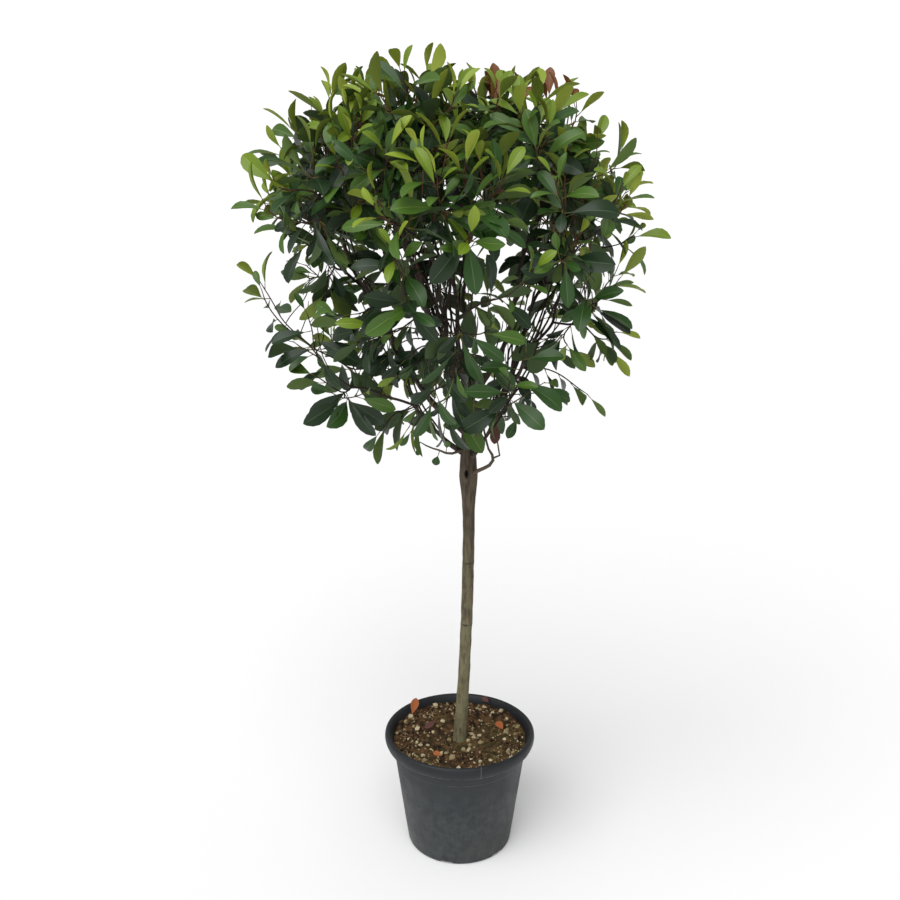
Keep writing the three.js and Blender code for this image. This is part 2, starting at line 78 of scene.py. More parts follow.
# Soil: clods over a flat filling, with a mound at the stem, a dish at the wall and a heap at the back
SOIL_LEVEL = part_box("soil")[1].z
SOIL_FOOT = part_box("soil")[0].z
SOIL_CLEARANCE = 0.0003
SOIL_MOUND = 0.004
SOIL_MOUND_REACH = 0.05
SOIL_DISH = 0.003
SOIL_DISH_REACH = (0.12, 0.165)
SOIL_BACK_RISE = 0.020
SOIL_BACK_SLOPE = (-0.12, 0.14)
SOIL_BACK_REACH = (0.03, 0.13)
SOIL_CLOD = 0.0022
SOIL_CLOD_LENGTH = 0.050
SOIL_CRUMB = 0.0011
SOIL_CRUMB_LENGTH = 0.014
SOIL_FLARE = 0.28
SOIL_RINGS = 46
SOIL_COLUMNS = 120
SOIL_CREASE = math.radians(50)

# Trunk: heights are above its foot
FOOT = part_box("trunk")[0].z
STEM_HEIGHT = 0.700
TRUNK_HEIGHT = 0.960
TRUNK_RADIUS = 0.0142
ROOT_FLARE = 0.0036
ROOT_FLARE_HEIGHT = 0.080
KNUCKLE_SWELL = 0.0075
KNUCKLE_BELOW = 0.052
KNUCKLE_ABOVE = 0.090
LEADER_TIP_RADIUS = 0.007
TRUNK_BOW = (0.0, 0.020, 0.030, 0.008)
TRUNK_ROWS = 280
TRUNK_COLUMNS = 56
TRUNK_CREASE = math.radians(60)

# Relief of the stem's bark: low swells, fine ridges, ring scars, and a knot hollow with a lip round it
BARK_SWELL = 0.0004
BARK_SWELL_LENGTH = 0.060
BARK_RIDGE = 0.0003
BARK_RIDGE_WIDTH = 0.008
BARK_RIDGE_STRETCH = (1, 1, 0.2)
RING_SCARS = (0.322, 0.482)
SCAR_RELIEF = 0.0009
SCAR_HALF_HEIGHT = 0.006
SCAR_STAIN = 0.0026
KNOT_HEIGHT = 0.708
KNOT_TURN = 0.24
KNOT_DEPTH = 0.010
KNOT_HALF_WIDTH = 0.0025
KNOT_HALF_HEIGHT = 0.009
KNOT_LIP = 0.0014
KNOT_LIP_PLACE = 1.6
KNOT_LIP_WIDTH = math.sqrt(1 / 3)
# Painted shade in the knot's hollow: the bark is near black within the first distance of the knot, measured
# stretched, and back to its own colour by the second
KNOT_SHADE_REACH = (0.0035, 0.0055)
KNOT_SHADE_STRETCH = np.array([1.0, 0.3, 0.5])

# Crown outline: a rounded drum above its middle and a round bowl below it
CROWN_RADIUS = 0.500
CROWN_TOP = 1.728
CROWN_BOTTOM = 0.720
CROWN_OFFSET_X = -0.034
CROWN_ROUND_ABOVE = 2.3
CROWN_ROUND_BELOW = 2.0
CROWN_MIDDLE = np.array([CROWN_OFFSET_X, 0.0, FOOT + (CROWN_TOP + CROWN_BOTTOM) / 2])
CROWN_HALF_HEIGHT = (CROWN_TOP - CROWN_BOTTOM) / 2

# Boughs, in rings that leave the trunk one above another and climb more steeply
HUB_HEIGHT = 0.800
BOUGH_RINGS = (
    dict(name="low", count=3, start=0.738, rise=0.028, climb=29, turn=-62, reach=0.22, radius=0.0070),
    dict(name="middle", count=5, start=0.790, rise=0.070, climb=51, turn=34, reach=0.36, radius=0.0085),
    dict(name="upper", count=3, start=0.874, rise=0.054, climb=72, turn=-20, reach=0.44, radius=0.0068),
)
BOUGH_TURN_SPREAD = 14
BOUGH_CLIMB_SPREAD = 8
BOUGH_BOW = 0.16
BOUGH_DIP = 0.064
BOUGH_TAPER = 0.7
BOUGH_COLLAR = 0.5
BOUGH_COLLAR_REACH = 0.12
BOUGH_SWELL = 0.06
BOUGH_SWELL_LENGTH = 0.03
BOUGH_STATIONS = 34
BOUGH_SIDES = 14

# Shoots: the source's rule, with more of them. A pair says where a change starts and ends on a unit ball
SHOOTS = 540
LOWEST_SHOOT = -0.95
LOW_SHOOT_SHARE = 0.32
FULLER_CROWN = (-0.25, 0.65)
FOOT_SHOOT_SHARE = 0.30
FOOT_DEPTH = (0.5, 0.8)
OPEN_SIDE_SHARE = 0.65
OPEN_SIDE = (0.2, 0.55)
OPEN_SIDE_DEPTH = (0.25, 0.5)
SHOOT_INSET = 0.112
TOP_SHOOT_INSET = 0.060
FOOT_SHOOT_INSET = -0.050
PROUD_SHOOT = 0.060
PROUD_SHOULDER = 2
PROUD_SHOOT_RARITY = 2.5
SHOOT_DEPTH = 0.42
DEEP_SHOOT_RARITY = 1.8
SHORTEST_SHOOT = 0.045

# Upturn of a shoot's end, between two heights in the crown
SHOOT_UPTURN = (-0.1, 1.55)
SHOOT_UPTURN_HEIGHTS = (0.1, 0.75)

# Twigs. A point's wood stands for the number of tips that it carries, and sets its thickness
FORK_SHARE = 0.42
FORK_SAG = 0.14
TWIG_RADIUS = 0.0013
TWIG_THICKENING = 0.34
TWIG_TIP_TAPER = 0.6
TWIG_SIDES = 5
TWIG_STEP = 0.014
TWIG_STATIONS = (7, 44)
SUNK_END = 0.004
SLOPE_STEP = 0.01
CROOK = 0.0036
CROOK_LENGTH = 0.11
CROOK_FROM_TRUNK = (0.02, 0.10)
LONGEST_FOOT_TWIG = 0.26
FOOT_TWIG_ARCH = 0.12
FOOT_TWIG_WOOD = (3, 2, 1)
FOOT_TWIG_PLACES = np.linspace(0.15, 0.95, 17)

# Bare risers: fine ones on the longer twigs, and stout ones on the boughs
RISERS_PER_TWIG = 4
RISER_FROM_TIP = (0.10, 0.40)
RISER_TWIG_SHARE = 0.9
RISER_LENGTH = (0.07, 0.19)
RISER_CLIMB = (50, 80)
RISER_BOW = 0.10
RISER_WOOD = (1.0, 0.8, 0.5)
RISER_LIMIT = 0.86
RISER_UPTURN = 0.5
STOUT_RISER_PLACES = np.linspace(0.35, 1.0, 4)
STOUT_RISER_FAN = 3.6
STOUT_RISER_LENGTH = (0.22, 0.42)
STOUT_RISER_CLIMB = (48, 82)
STOUT_RISER_BOW = 0.015
STOUT_RISER_WOOD = (6.0, 4.0, 0.8)
STOUT_RISER_LIMIT = 0.88

# Leaf blades, at life size. A pair gives the two ends of a spread
LEAF_LENGTH = 0.084
LEAF_LENGTH_SPREAD = (0.50, 1.18)
LEAF_LENGTH_BY_AGE = (0.80, 1.08)
LEAF_WIDTH = 0.39
LEAF_WIDTH_SPREAD = (0.80, 1.18)
LEAF_WIDTH_BY_YOUTH = (1.05, 0.90)
LEAF_THICKNESS = 0.0010
LEAF_RISE = 1.45
LEAF_FALL = 0.85
LEAF_FOLD = (0.14, 0.38)
YOUNG_LEAF_FOLD = 0.34
FOLD_EASING = 0.35
LEAF_CURL = (0.2, 0.9)
MARGIN_WAVE = 0.05
MARGIN_WAVE_PACE = 9
MARGIN_WAVE_LAG = 2
MARGIN_WAVE_PHASES = 6.3
RIB_SHARE = 0.035
LEAF_ROWS = np.array([0.07, 0.21, 0.37, 0.54, 0.70, 0.84, 0.95])
UPPER_COLUMNS = np.array([-1.0, -RIB_SHARE, RIB_SHARE, 1.0])
UNDER_COLUMNS = np.array([0.0])
LEAF_CREASE = math.radians(70)
PETIOLE = 0.013
STALK_RADII = np.array([0.0011, 0.0009, 0.0007])
STALK_SIDES = 4

# Sprays of leaves. A pair goes from loose sprays low in the crown to full ones high in it
SPRAY_HEIGHTS = (0.2, 0.7)
SPRAY_LEAVES = (4.7, 8.5)
SPRAY_LEAVES_SPREAD = 2
SPRAY_SPACING = (0.023, 0.009)
SPRAY_SPACING_GROWTH = 1.15
FIRST_LEAF = 0.003
LAST_LEAF_SHARE = 0.92
ITEMS_PER_SHOOT = 16
ROSETTE_FULLNESS = 0.4
ROSETTE_TURN = 2.4
LEAF_TURN_SPREAD = 0.6

# Stance of a leaf, from the youngest at the tip of its spray to the oldest
LEAF_ANGLE = (math.radians(20), math.radians(66))
LEAF_ANGLE_GROWTH = 0.8
LEAF_ANGLE_SPREAD = 0.35
LEAF_DROOP = 0.1
OLD_LEAF_DROOP = 0.6
OLD_LEAF_SHADE = 1.2
LOOSE_LEAF_DROOP = 0.4
LEAF_TO_LIGHT = 0.15
LOOSE_LEAF_TO_LIGHT = 0.5

# Light that a spray gets, from the crown's foot to its top, and the youth and tint that follow from it
LIT_REACH = 0.85
CROWN_LIGHT = (0.27, 1.05)
CROWN_LIGHT_GROWTH = 1.5
LIGHT_SPREAD = 0.42
YOUNGEST = 1.1
YOUTH_SPREAD = 0.25
TINT_STEPS = (0.16, 0.32, 0.50, 0.72)
BRONZE_FROM_X = 0.04
BRONZE_FROM_HEIGHT = 0.78
BRONZE_LEAVES = 2

# Camera, fitted to the photograph's view
CAMERA_PLACE = (-0.0244, -2.22, 1.58)
CAMERA_PITCH = math.radians(14)
CAMERA_SENSOR = 36.0
IMAGE_SIDE = 900
FOCAL_PIXELS = 972

# Light and stage
SURROUND = 0.52
BACKDROP = 1.05
SUN = 2.5
SUN_SOFTNESS = math.radians(60)
SUN_TILT = math.radians(38)
SUN_TURN = math.radians(-25)
STAGE_HALF = 30.0


def chance(item, channel):
    """Seeded chance: the fraction of a fast sine wave, the same for the same item and channel."""
    wave = np.sin(np.asarray(item, float) * 127.1 + channel * 311.7) * 43758.5453
    return wave - np.floor(wave)


def sway(item, channel):
    """Seeded chance about zero, from minus a half to a half."""
    return chance(item, channel) - 0.5


def between(limits, share):
    """A value between two limits: the first at share 0 and the second at share 1."""
    return limits[0] + (limits[1] - limits[0]) * share


def smooth_step(value, low, high):
    """0 below low, 1 above high and a soft S between."""
    share = np.clip((value - low) / (high - low), 0, 1)
    return share * share * (3 - 2 * share)


def bell(value):
    """1 at 0, falling off to both sides as the exponential of minus the square."""
    return np.exp(-(value**2))


def unit(vectors):
    """Vectors divided by their length."""
    return vectors / np.linalg.norm(vectors, axis=-1, keepdims=True)


def dot(a, b):
    """Scalar products along the last axis, kept as a column."""
    return np.sum(a * b, axis=-1, keepdims=True)


def rumple(points, size, seed, waves=9):
    """A smooth uneven field over space: the sum of sine waves of about one size in seeded directions."""
    total = np.zeros(points.shape[:-1])
    for k in range(waves):
        item = seed * 50 + k
        direction = unit(np.array([sway(item, channel) for channel in (20, 21, 22)]))
        length = size * between((0.6, 1.5), chance(item, 23))
        total += np.sin(FULL_TURN * (points @ direction / length + chance(item, 24)))
    return total / math.sqrt(waves)


# Meshes from arrays

def ring_angles(count):
    """Angles evenly spaced round a full turn."""
    return FULL_TURN * np.arange(count) / count


def grid_faces(rows, columns):
    """Quads of a grid that closes round, facing out where rows run along a limb and columns round it."""
    around = np.arange(columns)
    along = np.arange(rows - 1)[:, None]
    a = along * columns + around
    b = along * columns + (around + 1) % columns
    return np.stack([a, b, b + columns, a + columns], axis=-1).reshape(-1, 4)


def make_piece(name, verts, faces, materials, face_materials=None, sharp_angle=None):
    """One object from arrays: verts in rows of x y z, and faces as a list of index arrays, each of which has
    one number of corners."""
    mesh = bpy.data.meshes.new(name)
    corners = np.concatenate([part.ravel() for part in faces]).astype(np.int32)
    sizes = np.concatenate([np.full(len(part), part.shape[1]) for part in faces])
    mesh.vertices.add(len(verts))
    mesh.vertices.foreach_set("co", np.ascontiguousarray(verts, np.float32).ravel())
    mesh.loops.add(len(corners))
    mesh.loops.foreach_set("vertex_index", corners)
    mesh.polygons.add(len(sizes))
    mesh.polygons.foreach_set("loop_start", (np.cumsum(sizes) - sizes).astype(np.int32))
    mesh.polygons.foreach_set("use_smooth", np.ones(len(sizes), bool))
    for material in materials:
        mesh.materials.append(material)
    if face_materials is not None:
        mesh.polygons.foreach_set("material_index", face_materials.astype(np.int32))
    mesh.update(calc_edges=True)
    if sharp_angle is not None:
        mesh.set_sharp_from_angle(angle=sharp_angle)
    piece = bpy.data.objects.new(name, mesh)
    bpy.context.scene.collection.objects.link(piece)
    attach(piece, "root")
    return piece


def tubes(paths, radii, sides):
    """Closed tubes along paths: a ring of the given sides stands square to the path at every station."""
    count, stations = radii.shape
    along = unit(np.gradient(paths, axis=1))
    mean = unit(along.mean(axis=1))
    least = np.eye(3)[np.argmin(np.abs(mean), axis=1)]
    facing = np.cross(mean, least)[:, None, :]
    outward = unit(facing - dot(facing, along) * along)
    across = np.cross(along, outward)
    angle = ring_angles(sides)
    ring = np.cos(angle)[:, None] * outward[:, :, None] + np.sin(angle)[:, None] * across[:, :, None]
    verts = paths[:, :, None] + radii[:, :, None, None] * ring
    base = np.arange(count)[:, None, None] * stations * sides
    walls = (grid_faces(stations, sides)[None] + base).reshape(-1, 4)
    first = np.arange(sides)[::-1] + base[:, 0]
    last = np.arange(sides) + (stations - 1) * sides + base[:, 0]
    return verts.reshape(-1, 3), walls, np.concatenate([first, last])


# The source's growth rule

def trunk_point(height):
    """Points on the trunk's line, a cubic curve whose control points are evenly spaced in height."""
    height = np.asarray(height, float)
    share = height / TRUNK_HEIGHT
    rest = 1 - share
    bow = TRUNK_BOW[0] * rest**3 + 3 * TRUNK_BOW[1] * rest**2 * share
    bow = bow + 3 * TRUNK_BOW[2] * rest * share**2 + TRUNK_BOW[3] * share**3
    return np.stack([bow, np.zeros_like(bow), FOOT + height], axis=-1)


def trunk_radius(height):
    """A plain stem with a flare at the soil, a swelling at the knuckle and a leader that tapers above it."""
    flare = ROOT_FLARE * np.exp(-height / ROOT_FLARE_HEIGHT)
    spread = np.where(height < STEM_HEIGHT, KNUCKLE_BELOW, KNUCKLE_ABOVE)
    swell = KNUCKLE_SWELL * bell((height - STEM_HEIGHT) / spread)
    above = np.maximum(0, (height - STEM_HEIGHT) / (TRUNK_HEIGHT - STEM_HEIGHT))
    return between((TRUNK_RADIUS, LEADER_TIP_RADIUS), above) + flare + swell


HUB = trunk_point(HUB_HEIGHT)
KNOT_OUTWARD = np.array([-math.sin(KNOT_TURN), -math.cos(KNOT_TURN), 0.0])
KNOT_PLACE = trunk_point(KNOT_HEIGHT) + KNOT_OUTWARD * trunk_radius(KNOT_HEIGHT)


def crown_reach(direction):
    """Distance from the crown's middle to its outline, where the level and the upright share of the way out,
    each raised to a power, add up to 1. The power differs above and below the middle."""
    power = np.where(direction[..., 2] > 0, CROWN_ROUND_ABOVE, CROWN_ROUND_BELOW)
    level = np.hypot(direction[..., 0], direction[..., 1]) / CROWN_RADIUS
    upright = np.abs(direction[..., 2]) / CROWN_HALF_HEIGHT
    return (level**power + upright**power) ** (-1 / power)


def crown_share(points):
    """How far points lie from the crown's middle, as a share of the way to its outline."""
    out = points - CROWN_MIDDLE
    distance = np.linalg.norm(out, axis=-1)
    return distance / crown_reach(out / np.maximum(distance, 1e-9)[..., None])


def crown_height(points):
    """Height in the crown, 0 at its foot and 1 at its top."""
    return (points[..., 2] - FOOT - CROWN_BOTTOM) / (CROWN_TOP - CROWN_BOTTOM)


def reach_from_hub(direction):
    """Distance from the hub to the crown's outline, found by halving."""
    near, far = 0.0, 2 * CROWN_HALF_HEIGHT
    for _ in range(24):
        middle = (near + far) / 2
        inside = crown_share(HUB + direction * middle) <= 1
        near, far = (middle, far) if inside else (near, middle)
    return near


def heading(azimuth, climb):
    """Unit vectors from azimuth and climb."""
    level = np.cos(climb)
    return np.stack([level * np.cos(azimuth), level * np.sin(azimuth), np.sin(climb)], axis=-1)


def bough_plan():
    """Each bough's ring, axis from the hub, and the three control points of its line."""
    plan = []
    for ring in BOUGH_RINGS:
        for i in range(ring["count"]):
            item = len(plan)
            turn = ring["turn"] + 360 * i / ring["count"] + BOUGH_TURN_SPREAD * sway(item, 1)
            climb = ring["climb"] + BOUGH_CLIMB_SPREAD * sway(item, 2)
            axis = heading(math.radians(turn), math.radians(climb))
            root = trunk_point(ring["start"] + ring["rise"] * (i % 2 + i / ring["count"]) / 2)
            end = HUB + axis * ring["reach"] * reach_from_hub(axis)
            length = np.linalg.norm(end - root)
            outward = unit(axis * (1, 1, 0))
            bend = (root + end) / 2 + outward * BOUGH_BOW * length - UP * BOUGH_DIP * length
            plan.append(dict(ring=ring, name=f"{ring['name']}_{i + 1}", axis=axis, line=(root, bend, end)))
    return plan


def bough_points(plan, share):
    """Points along every bough, a quadratic curve through its control points."""
    root, bend, end = (np.array([bough["line"][k] for bough in plan])[:, None] for k in range(3))
    s = np.asarray(share)[None, :, None]
    return root * (1 - s) ** 2 + 2 * bend * s * (1 - s) + end * s**2


def shoot_tips():
    """Shoot tips, spread over the crown's outline by the golden angle, some deeper in it and some proud of
    it. Fewer grow low in the crown, and fewest low on its open side."""
    item = np.arange(SHOOTS)
    height = LOWEST_SHOOT + (1 - LOWEST_SHOOT) * (item + 0.5) / SHOOTS
    direction = heading(item * GOLDEN_ANGLE, np.arcsin(height))
    depth = SHOOT_DEPTH * chance(item, 3) ** DEEP_SHOOT_RARITY
    rise, fall = np.maximum(0, direction[:, 2]), np.maximum(0, -direction[:, 2])
    proud = PROUD_SHOOT * (1 + PROUD_SHOULDER * rise * (1 - rise)) * chance(item, 17) ** PROUD_SHOOT_RARITY
    inset = SHOOT_INSET + TOP_SHOOT_INSET * rise**2 + FOOT_SHOOT_INSET * fall**2 - proud
    reach = (crown_reach(direction) - inset) * (1 - depth)
    share = between((LOW_SHOOT_SHARE, 1), smooth_step(height, *FULLER_CROWN))
    share = share + FOOT_SHOOT_SHARE * smooth_step(-height, *FOOT_DEPTH)
    open_side = smooth_step(direction[:, 0], *OPEN_SIDE) * smooth_step(-height, *OPEN_SIDE_DEPTH)
    share = share * (1 - OPEN_SIDE_SHARE * open_side)
    return (CROWN_MIDDLE + direction * reach[:, None])[chance(item, 4) < share]


def share_out_tips(axes, ends):
    """Deals each tip to the limb whose axis it lies nearest. Tips not ahead of that limb's end come apart."""
    tips = shoot_tips()
    owner = np.argmax((tips - HUB) @ axes.T, axis=1)
    ahead = np.sum((tips - ends[owner]) * axes[owner], axis=1) > SHORTEST_SHOOT
    return [tips[(owner == k) & ahead] for k in range(len(axes))], tips[~ahead]


def part_in_two(points):
    """Parts points at the middle of their widest spread."""
    order = np.argsort(points[:, np.argmax(points.var(axis=0))], kind="stable")
    half = len(points) // 2
    return [points[order[:half]], points[order[half:]]]


def grow_twigs(root, along, tips):
    """A stem climbs towards the middle of its tips and forks: the half of the tips that lies ahead carries it
    on, and the other half starts a twig of its own. Each twig is an array of points and one of their wood."""
    twigs = []

    def grow(points, wood, forward, aims):
        if len(aims) == 1:
            twigs.append((np.array(points + [aims[0]]), np.array(wood + [1])))
            return
        reach = aims.mean(axis=0) - points[-1]
        fork = points[-1] + reach * FORK_SHARE - UP * FORK_SAG * math.hypot(reach[0], reach[1])
        ahead = unit(fork - points[-1])
        halves = part_in_two(aims)
        halves.sort(key=lambda half: -float(unit(half.mean(axis=0) - fork) @ forward))
        grow(points + [fork], wood + [len(aims)], ahead, halves[0])
        grow([fork], [len(halves[1])], ahead, halves[1])

    grow([root], [len(tips)], along, tips)
    return twigs


def bent_twig(root, tip, bow, wood):
    """A twig of three points, the middle one moved by a bow."""
    return np.array([root, (root + tip) / 2 + bow, tip]), np.array(wood)


def foot_twigs(plan, tips):
    """Twigs for the tips under the crown: each leaves the nearest bough and hangs out to its tip."""
    places = bough_points(plan, FOOT_TWIG_PLACES).reshape(-1, 3)
    twigs = []
    for tip in tips:
        root = places[np.argmin(np.linalg.norm(places - tip, axis=1))]
        length = np.linalg.norm(tip - root)
        if SHORTEST_SHOOT < length < LONGEST_FOOT_TWIG:
            twigs.append(bent_twig(root, tip, UP * FOOT_TWIG_ARCH * length, FOOT_TWIG_WOOD))
    return twigs


def smooth_line(points, wood, last_turn):
    """A smooth line through a twig's points, at even steps: from each point to the next a cubic curve by
    their places and slopes, with the last slope turned. Returns the line, its radii and its distances from
    the tip."""
    chord = np.linalg.norm(np.diff(points, axis=0), axis=1)
    at = np.concatenate([[0], np.cumsum(chord)])
    slope = np.gradient(points, at, axis=0)
    slope[-1] = unit(unit(points[-1] - points[-2]) + last_turn)
    count = int(np.clip(round(at[-1] / TWIG_STEP), *TWIG_STATIONS))
    along = np.linspace(0, at[-1], count)
    k = np.clip(np.searchsorted(at, along, side="right") - 1, 0, len(chord) - 1)
    step = chord[k][:, None]
    share = ((along - at[k]) / chord[k])[:, None]
    line = (
        (2 * share**3 - 3 * share**2 + 1) * points[k]
        + (share**3 - 2 * share**2 + share) * step * slope[k]
        + (3 * share**2 - 2 * share**3) * points[k + 1]
        + (share**3 - share**2) * step * slope[k + 1]
    )
    radius = TWIG_RADIUS * np.interp(along, at, wood) ** TWIG_THICKENING
    radius[-1] *= TWIG_TIP_TAPER
    return line, radius, at[-1] - along


def along_line(line, back, distance):
    """Points of a line at distances back from its tip."""
    return np.stack([np.interp(-distance, -back, line[:, axis]) for axis in range(3)], axis=-1)


def risers(shoots):
    """Fine bare twigs that climb steeply from the longer twigs inside the crown."""
    twigs = []
    for item, (line, _, back) in enumerate(shoots):
        for number in range(item * RISERS_PER_TWIG, (item + 1) * RISERS_PER_TWIG):
            distance = between(RISER_FROM_TIP, chance(number, 40))
            if distance > RISER_TWIG_SHARE * back[0]:
                continue
            root = along_line(line, back, distance)
            turn = FULL_TURN * chance(number, 41)
            length = between(RISER_LENGTH, chance(number, 42))
            tip = root + heading(turn, math.radians(between(RISER_CLIMB, chance(number, 43)))) * length
            if crown_share(tip) < RISER_LIMIT:
                twigs.append(bent_twig(root, tip, heading(turn, 0.0) * RISER_BOW * length, RISER_WOOD))
    return twigs


def stout_risers(plan):
    """Bare stems that fan out from the boughs through the crown's open middle, away from the knuckle."""
    twigs = []
    for number, root in enumerate(bough_points(plan, STOUT_RISER_PLACES).reshape(-1, 3)):
        axis = plan[number // len(STOUT_RISER_PLACES)]["axis"]
        turn = math.atan2(axis[1], axis[0]) + STOUT_RISER_FAN * sway(number, 44)
        climb = math.radians(between(STOUT_RISER_CLIMB, chance(number, 45)))
        lean = unit(heading(turn, climb) + unit(root - trunk_point(STEM_HEIGHT)))
        tip = root + lean * between(STOUT_RISER_LENGTH, chance(number, 46))
        if crown_share(tip) < STOUT_RISER_LIMIT:
            twigs.append(bent_twig(root, tip, heading(turn, 0.0) * STOUT_RISER_BOW, STOUT_RISER_WOOD))
    return twigs


def crooked(points):
    """Moves points by a slow uneven field that dies out at the trunk, so that wood that meets still meets."""
    height = np.clip(points[..., 2] - FOOT, 0, TRUNK_HEIGHT)
    away = np.linalg.norm(points - trunk_point(height), axis=-1)
    field = np.stack([rumple(points, CROOK_LENGTH, seed) for seed in (1, 2, 3)], axis=-1)
    return points + field * (CROOK * smooth_step(away, *CROOK_FROM_TRUNK))[..., None]


# Twigs at the knuckle, each from the trunk outwards: x, y and z of a point, and its wood
KNUCKLE_TWIGS = (
    (
        (0.014, 0.000, 1.085, 6), (0.010, -0.018, 1.100, 4), (-0.008, -0.056, 1.128, 3),
        (-0.020, -0.062, 1.185, 2), (-0.026, -0.066, 1.232, 1),
    ),
    (
        (0.028, -0.004, 0.968, 60), (0.036, -0.020, 0.979, 50), (0.060, -0.029, 0.993, 36),
        (0.071, -0.030, 1.000, 36), (0.077, -0.030, 1.015, 24), (0.066, -0.026, 1.034, 10),
        (0.059, -0.022, 1.060, 7), (0.048, -0.008, 1.120, 4),
    ),
    (
        (0.077, -0.030, 1.015, 8), (0.091, -0.030, 1.021, 6), (0.088, -0.028, 1.038, 3),
        (0.084, -0.025, 1.067, 2), (0.082, -0.018, 1.110, 1),
    ),
    (
        (0.045, 0.000, 1.100, 3), (0.090, -0.008, 1.107, 2), (0.137, -0.010, 1.115, 1),
    ),
    (
        (0.010, -0.008, 1.030, 20), (-0.030, -0.028, 1.025, 12), (-0.048, -0.030, 1.033, 6),
        (-0.070, -0.030, 1.040, 4), (-0.094, -0.028, 1.053, 2),
    ),
)
KNUCKLE_UPTURN = 0.2
# Single leaves on those twigs: root of the stalk, tip of the blade, width as a share of length, lift of the
# face towards the sky, and tint
KNUCKLE_LEAVES = (
    ((-0.026, -0.066, 1.232), (0.022, -0.082, 1.114), 0.41, 0.5, "green"),
    ((-0.008, -0.056, 1.128), (0.052, -0.072, 1.037), 0.46, 0.5, "green"),
    ((0.137, -0.010, 1.115), (0.109, -0.018, 1.058), 0.48, 0.5, "deep"),
    ((-0.048, -0.030, 1.033), (-0.060, -0.037, 0.999), 0.85, 0.5, "deep"),
    ((-0.034, -0.029, 1.026), (-0.030, -0.037, 1.056), 0.90, 0.5, "green"),
    ((-0.094, -0.028, 1.053), (-0.100, -0.036, 1.022), 0.70, 0.5, "deep"),
)
# Dry leaves in the same terms: one that still hangs there, and those that lie on the soil or lean on the
# pot's wall
DRY_LEAVES = (
    ((0.082, -0.018, 1.110), (0.079, -0.032, 1.048), 0.50, 0.5, "umber"),
    ((-0.128, 0.086, 0.276), (-0.113, 0.117, 0.322), 0.50, 0.6, "rust"),
    ((-0.051, 0.066, 0.289), (-0.089, 0.026, 0.287), 0.42, 1.6, "umber"),
    ((0.118, 0.010, 0.280), (0.096, 0.050, 0.292), 0.60, 1.2, "rust"),
    ((-0.034, -0.094, 0.272), (-0.066, -0.071, 0.277), 0.56, 1.6, "rust"),
    ((0.090, 0.134, 0.289), (0.062, 0.150, 0.307), 0.62, 1.0, "umber"),
)
# Facing, fold, curl and margin of the leaves that are placed singly
PLACED_FACING = np.array([0.1, -1.0, 0.0])
PLACED_FOLD = 0.22
PLACED_CURL = 0.25
PLACED_PHASE_STEP = 1.3


def knuckle_shoots():
    """The knuckle's twigs as smooth lines."""
    twigs = [np.array(twig) for twig in KNUCKLE_TWIGS]
    return [smooth_line(twig[:, :3], twig[:, 3], UP * KNUCKLE_UPTURN) for twig in twigs]


def grow_crown():
    """All twigs of the crown as smooth lines: leafy ones that grow on from the boughs and the trunk, and bare
    ones. Comes with the boughs' plan and the radii that their ends need."""
    plan = bough_plan()
    axes = np.array([bough["axis"] for bough in plan] + [UP])
    lines = [bough["line"] for bough in plan]
    ends = np.array([line[2] for line in lines] + [trunk_point(TRUNK_HEIGHT)])
    heads = [unit(line[2] - line[1]) for line in lines]
    heads.append(unit(trunk_point(TRUNK_HEIGHT) - trunk_point(TRUNK_HEIGHT - SLOPE_STEP)))
    shares, under = share_out_tips(axes, ends)
    twigs = foot_twigs(plan, under)
    for end, head, tips in zip(ends, heads, shares):
        twigs += grow_twigs(end - head * SUNK_END, head, tips)
    shoots = []
    for points, wood in twigs:
        upturn = between(SHOOT_UPTURN, smooth_step(crown_height(points[-1]), *SHOOT_UPTURN_HEIGHTS))
        shoots.append(smooth_line(points, wood, UP * upturn))
    climbers = stout_risers(plan) + risers(shoots)
    bare = [smooth_line(points, wood, UP * RISER_UPTURN) for points, wood in climbers]
    end_radii = [TWIG_RADIUS * len(tips) ** TWIG_THICKENING for tips in shares]
    shoots, bare = ([(crooked(line), radius, back) for line, radius, back in kind] for kind in (shoots, bare))
    return plan, end_radii, shoots, bare + knuckle_shoots()


# Node helpers

def linear(red, green, blue):
    """A colour from 0 to 255 as linear light."""
    share = np.array([red, green, blue]) / 255
    return (*np.where(share > 0.04045, ((share + 0.055) / 1.055) ** 2.4, share / 12.92), 1.0)


def palette(tones):
    """Named colours as linear light."""
    return {name: linear(*tone) for name, tone in tones.items()}


def new_material(name, roughness, colour=(0.5, 0.5, 0.5, 1.0), specular=0.5):
    """A material with a Principled shader, its node tree and that shader."""
    material = bpy.data.materials.new(name)
    material.use_nodes = True
    tree = material.node_tree
    shader = tree.nodes["Principled BSDF"]
    shader.inputs["Base Color"].default_value = colour
    shader.inputs["Roughness"].default_value = roughness
    shader.inputs["Specular IOR Level"].default_value = specular
    return material, tree, shader


def feed(tree, socket, value):
    """Links an input to a socket, or sets it to a plain value."""
    if isinstance(value, bpy.types.NodeSocket):
        tree.links.new(value, socket)
    else:
        socket.default_value = value


def add_node(tree, kind, **values):
    """A node whose named inputs are fed with values or sockets."""
    node = tree.nodes.new(kind)
    for name, value in values.items():
        feed(tree, node.inputs[name.replace("_", " ")], value)
    return node


def math_node(tree, operation, *values, clamp=False):
    """The output of a Math node with the given values or sockets."""
    node = tree.nodes.new("ShaderNodeMath")
    node.operation = operation
    node.use_clamp = clamp
    for socket, value in zip(node.inputs, values):
        feed(tree, socket, value)
    return node.outputs[0]


def times(tree, a, b):
    """The product of two values or sockets."""
    return math_node(tree, "MULTIPLY", a, b)


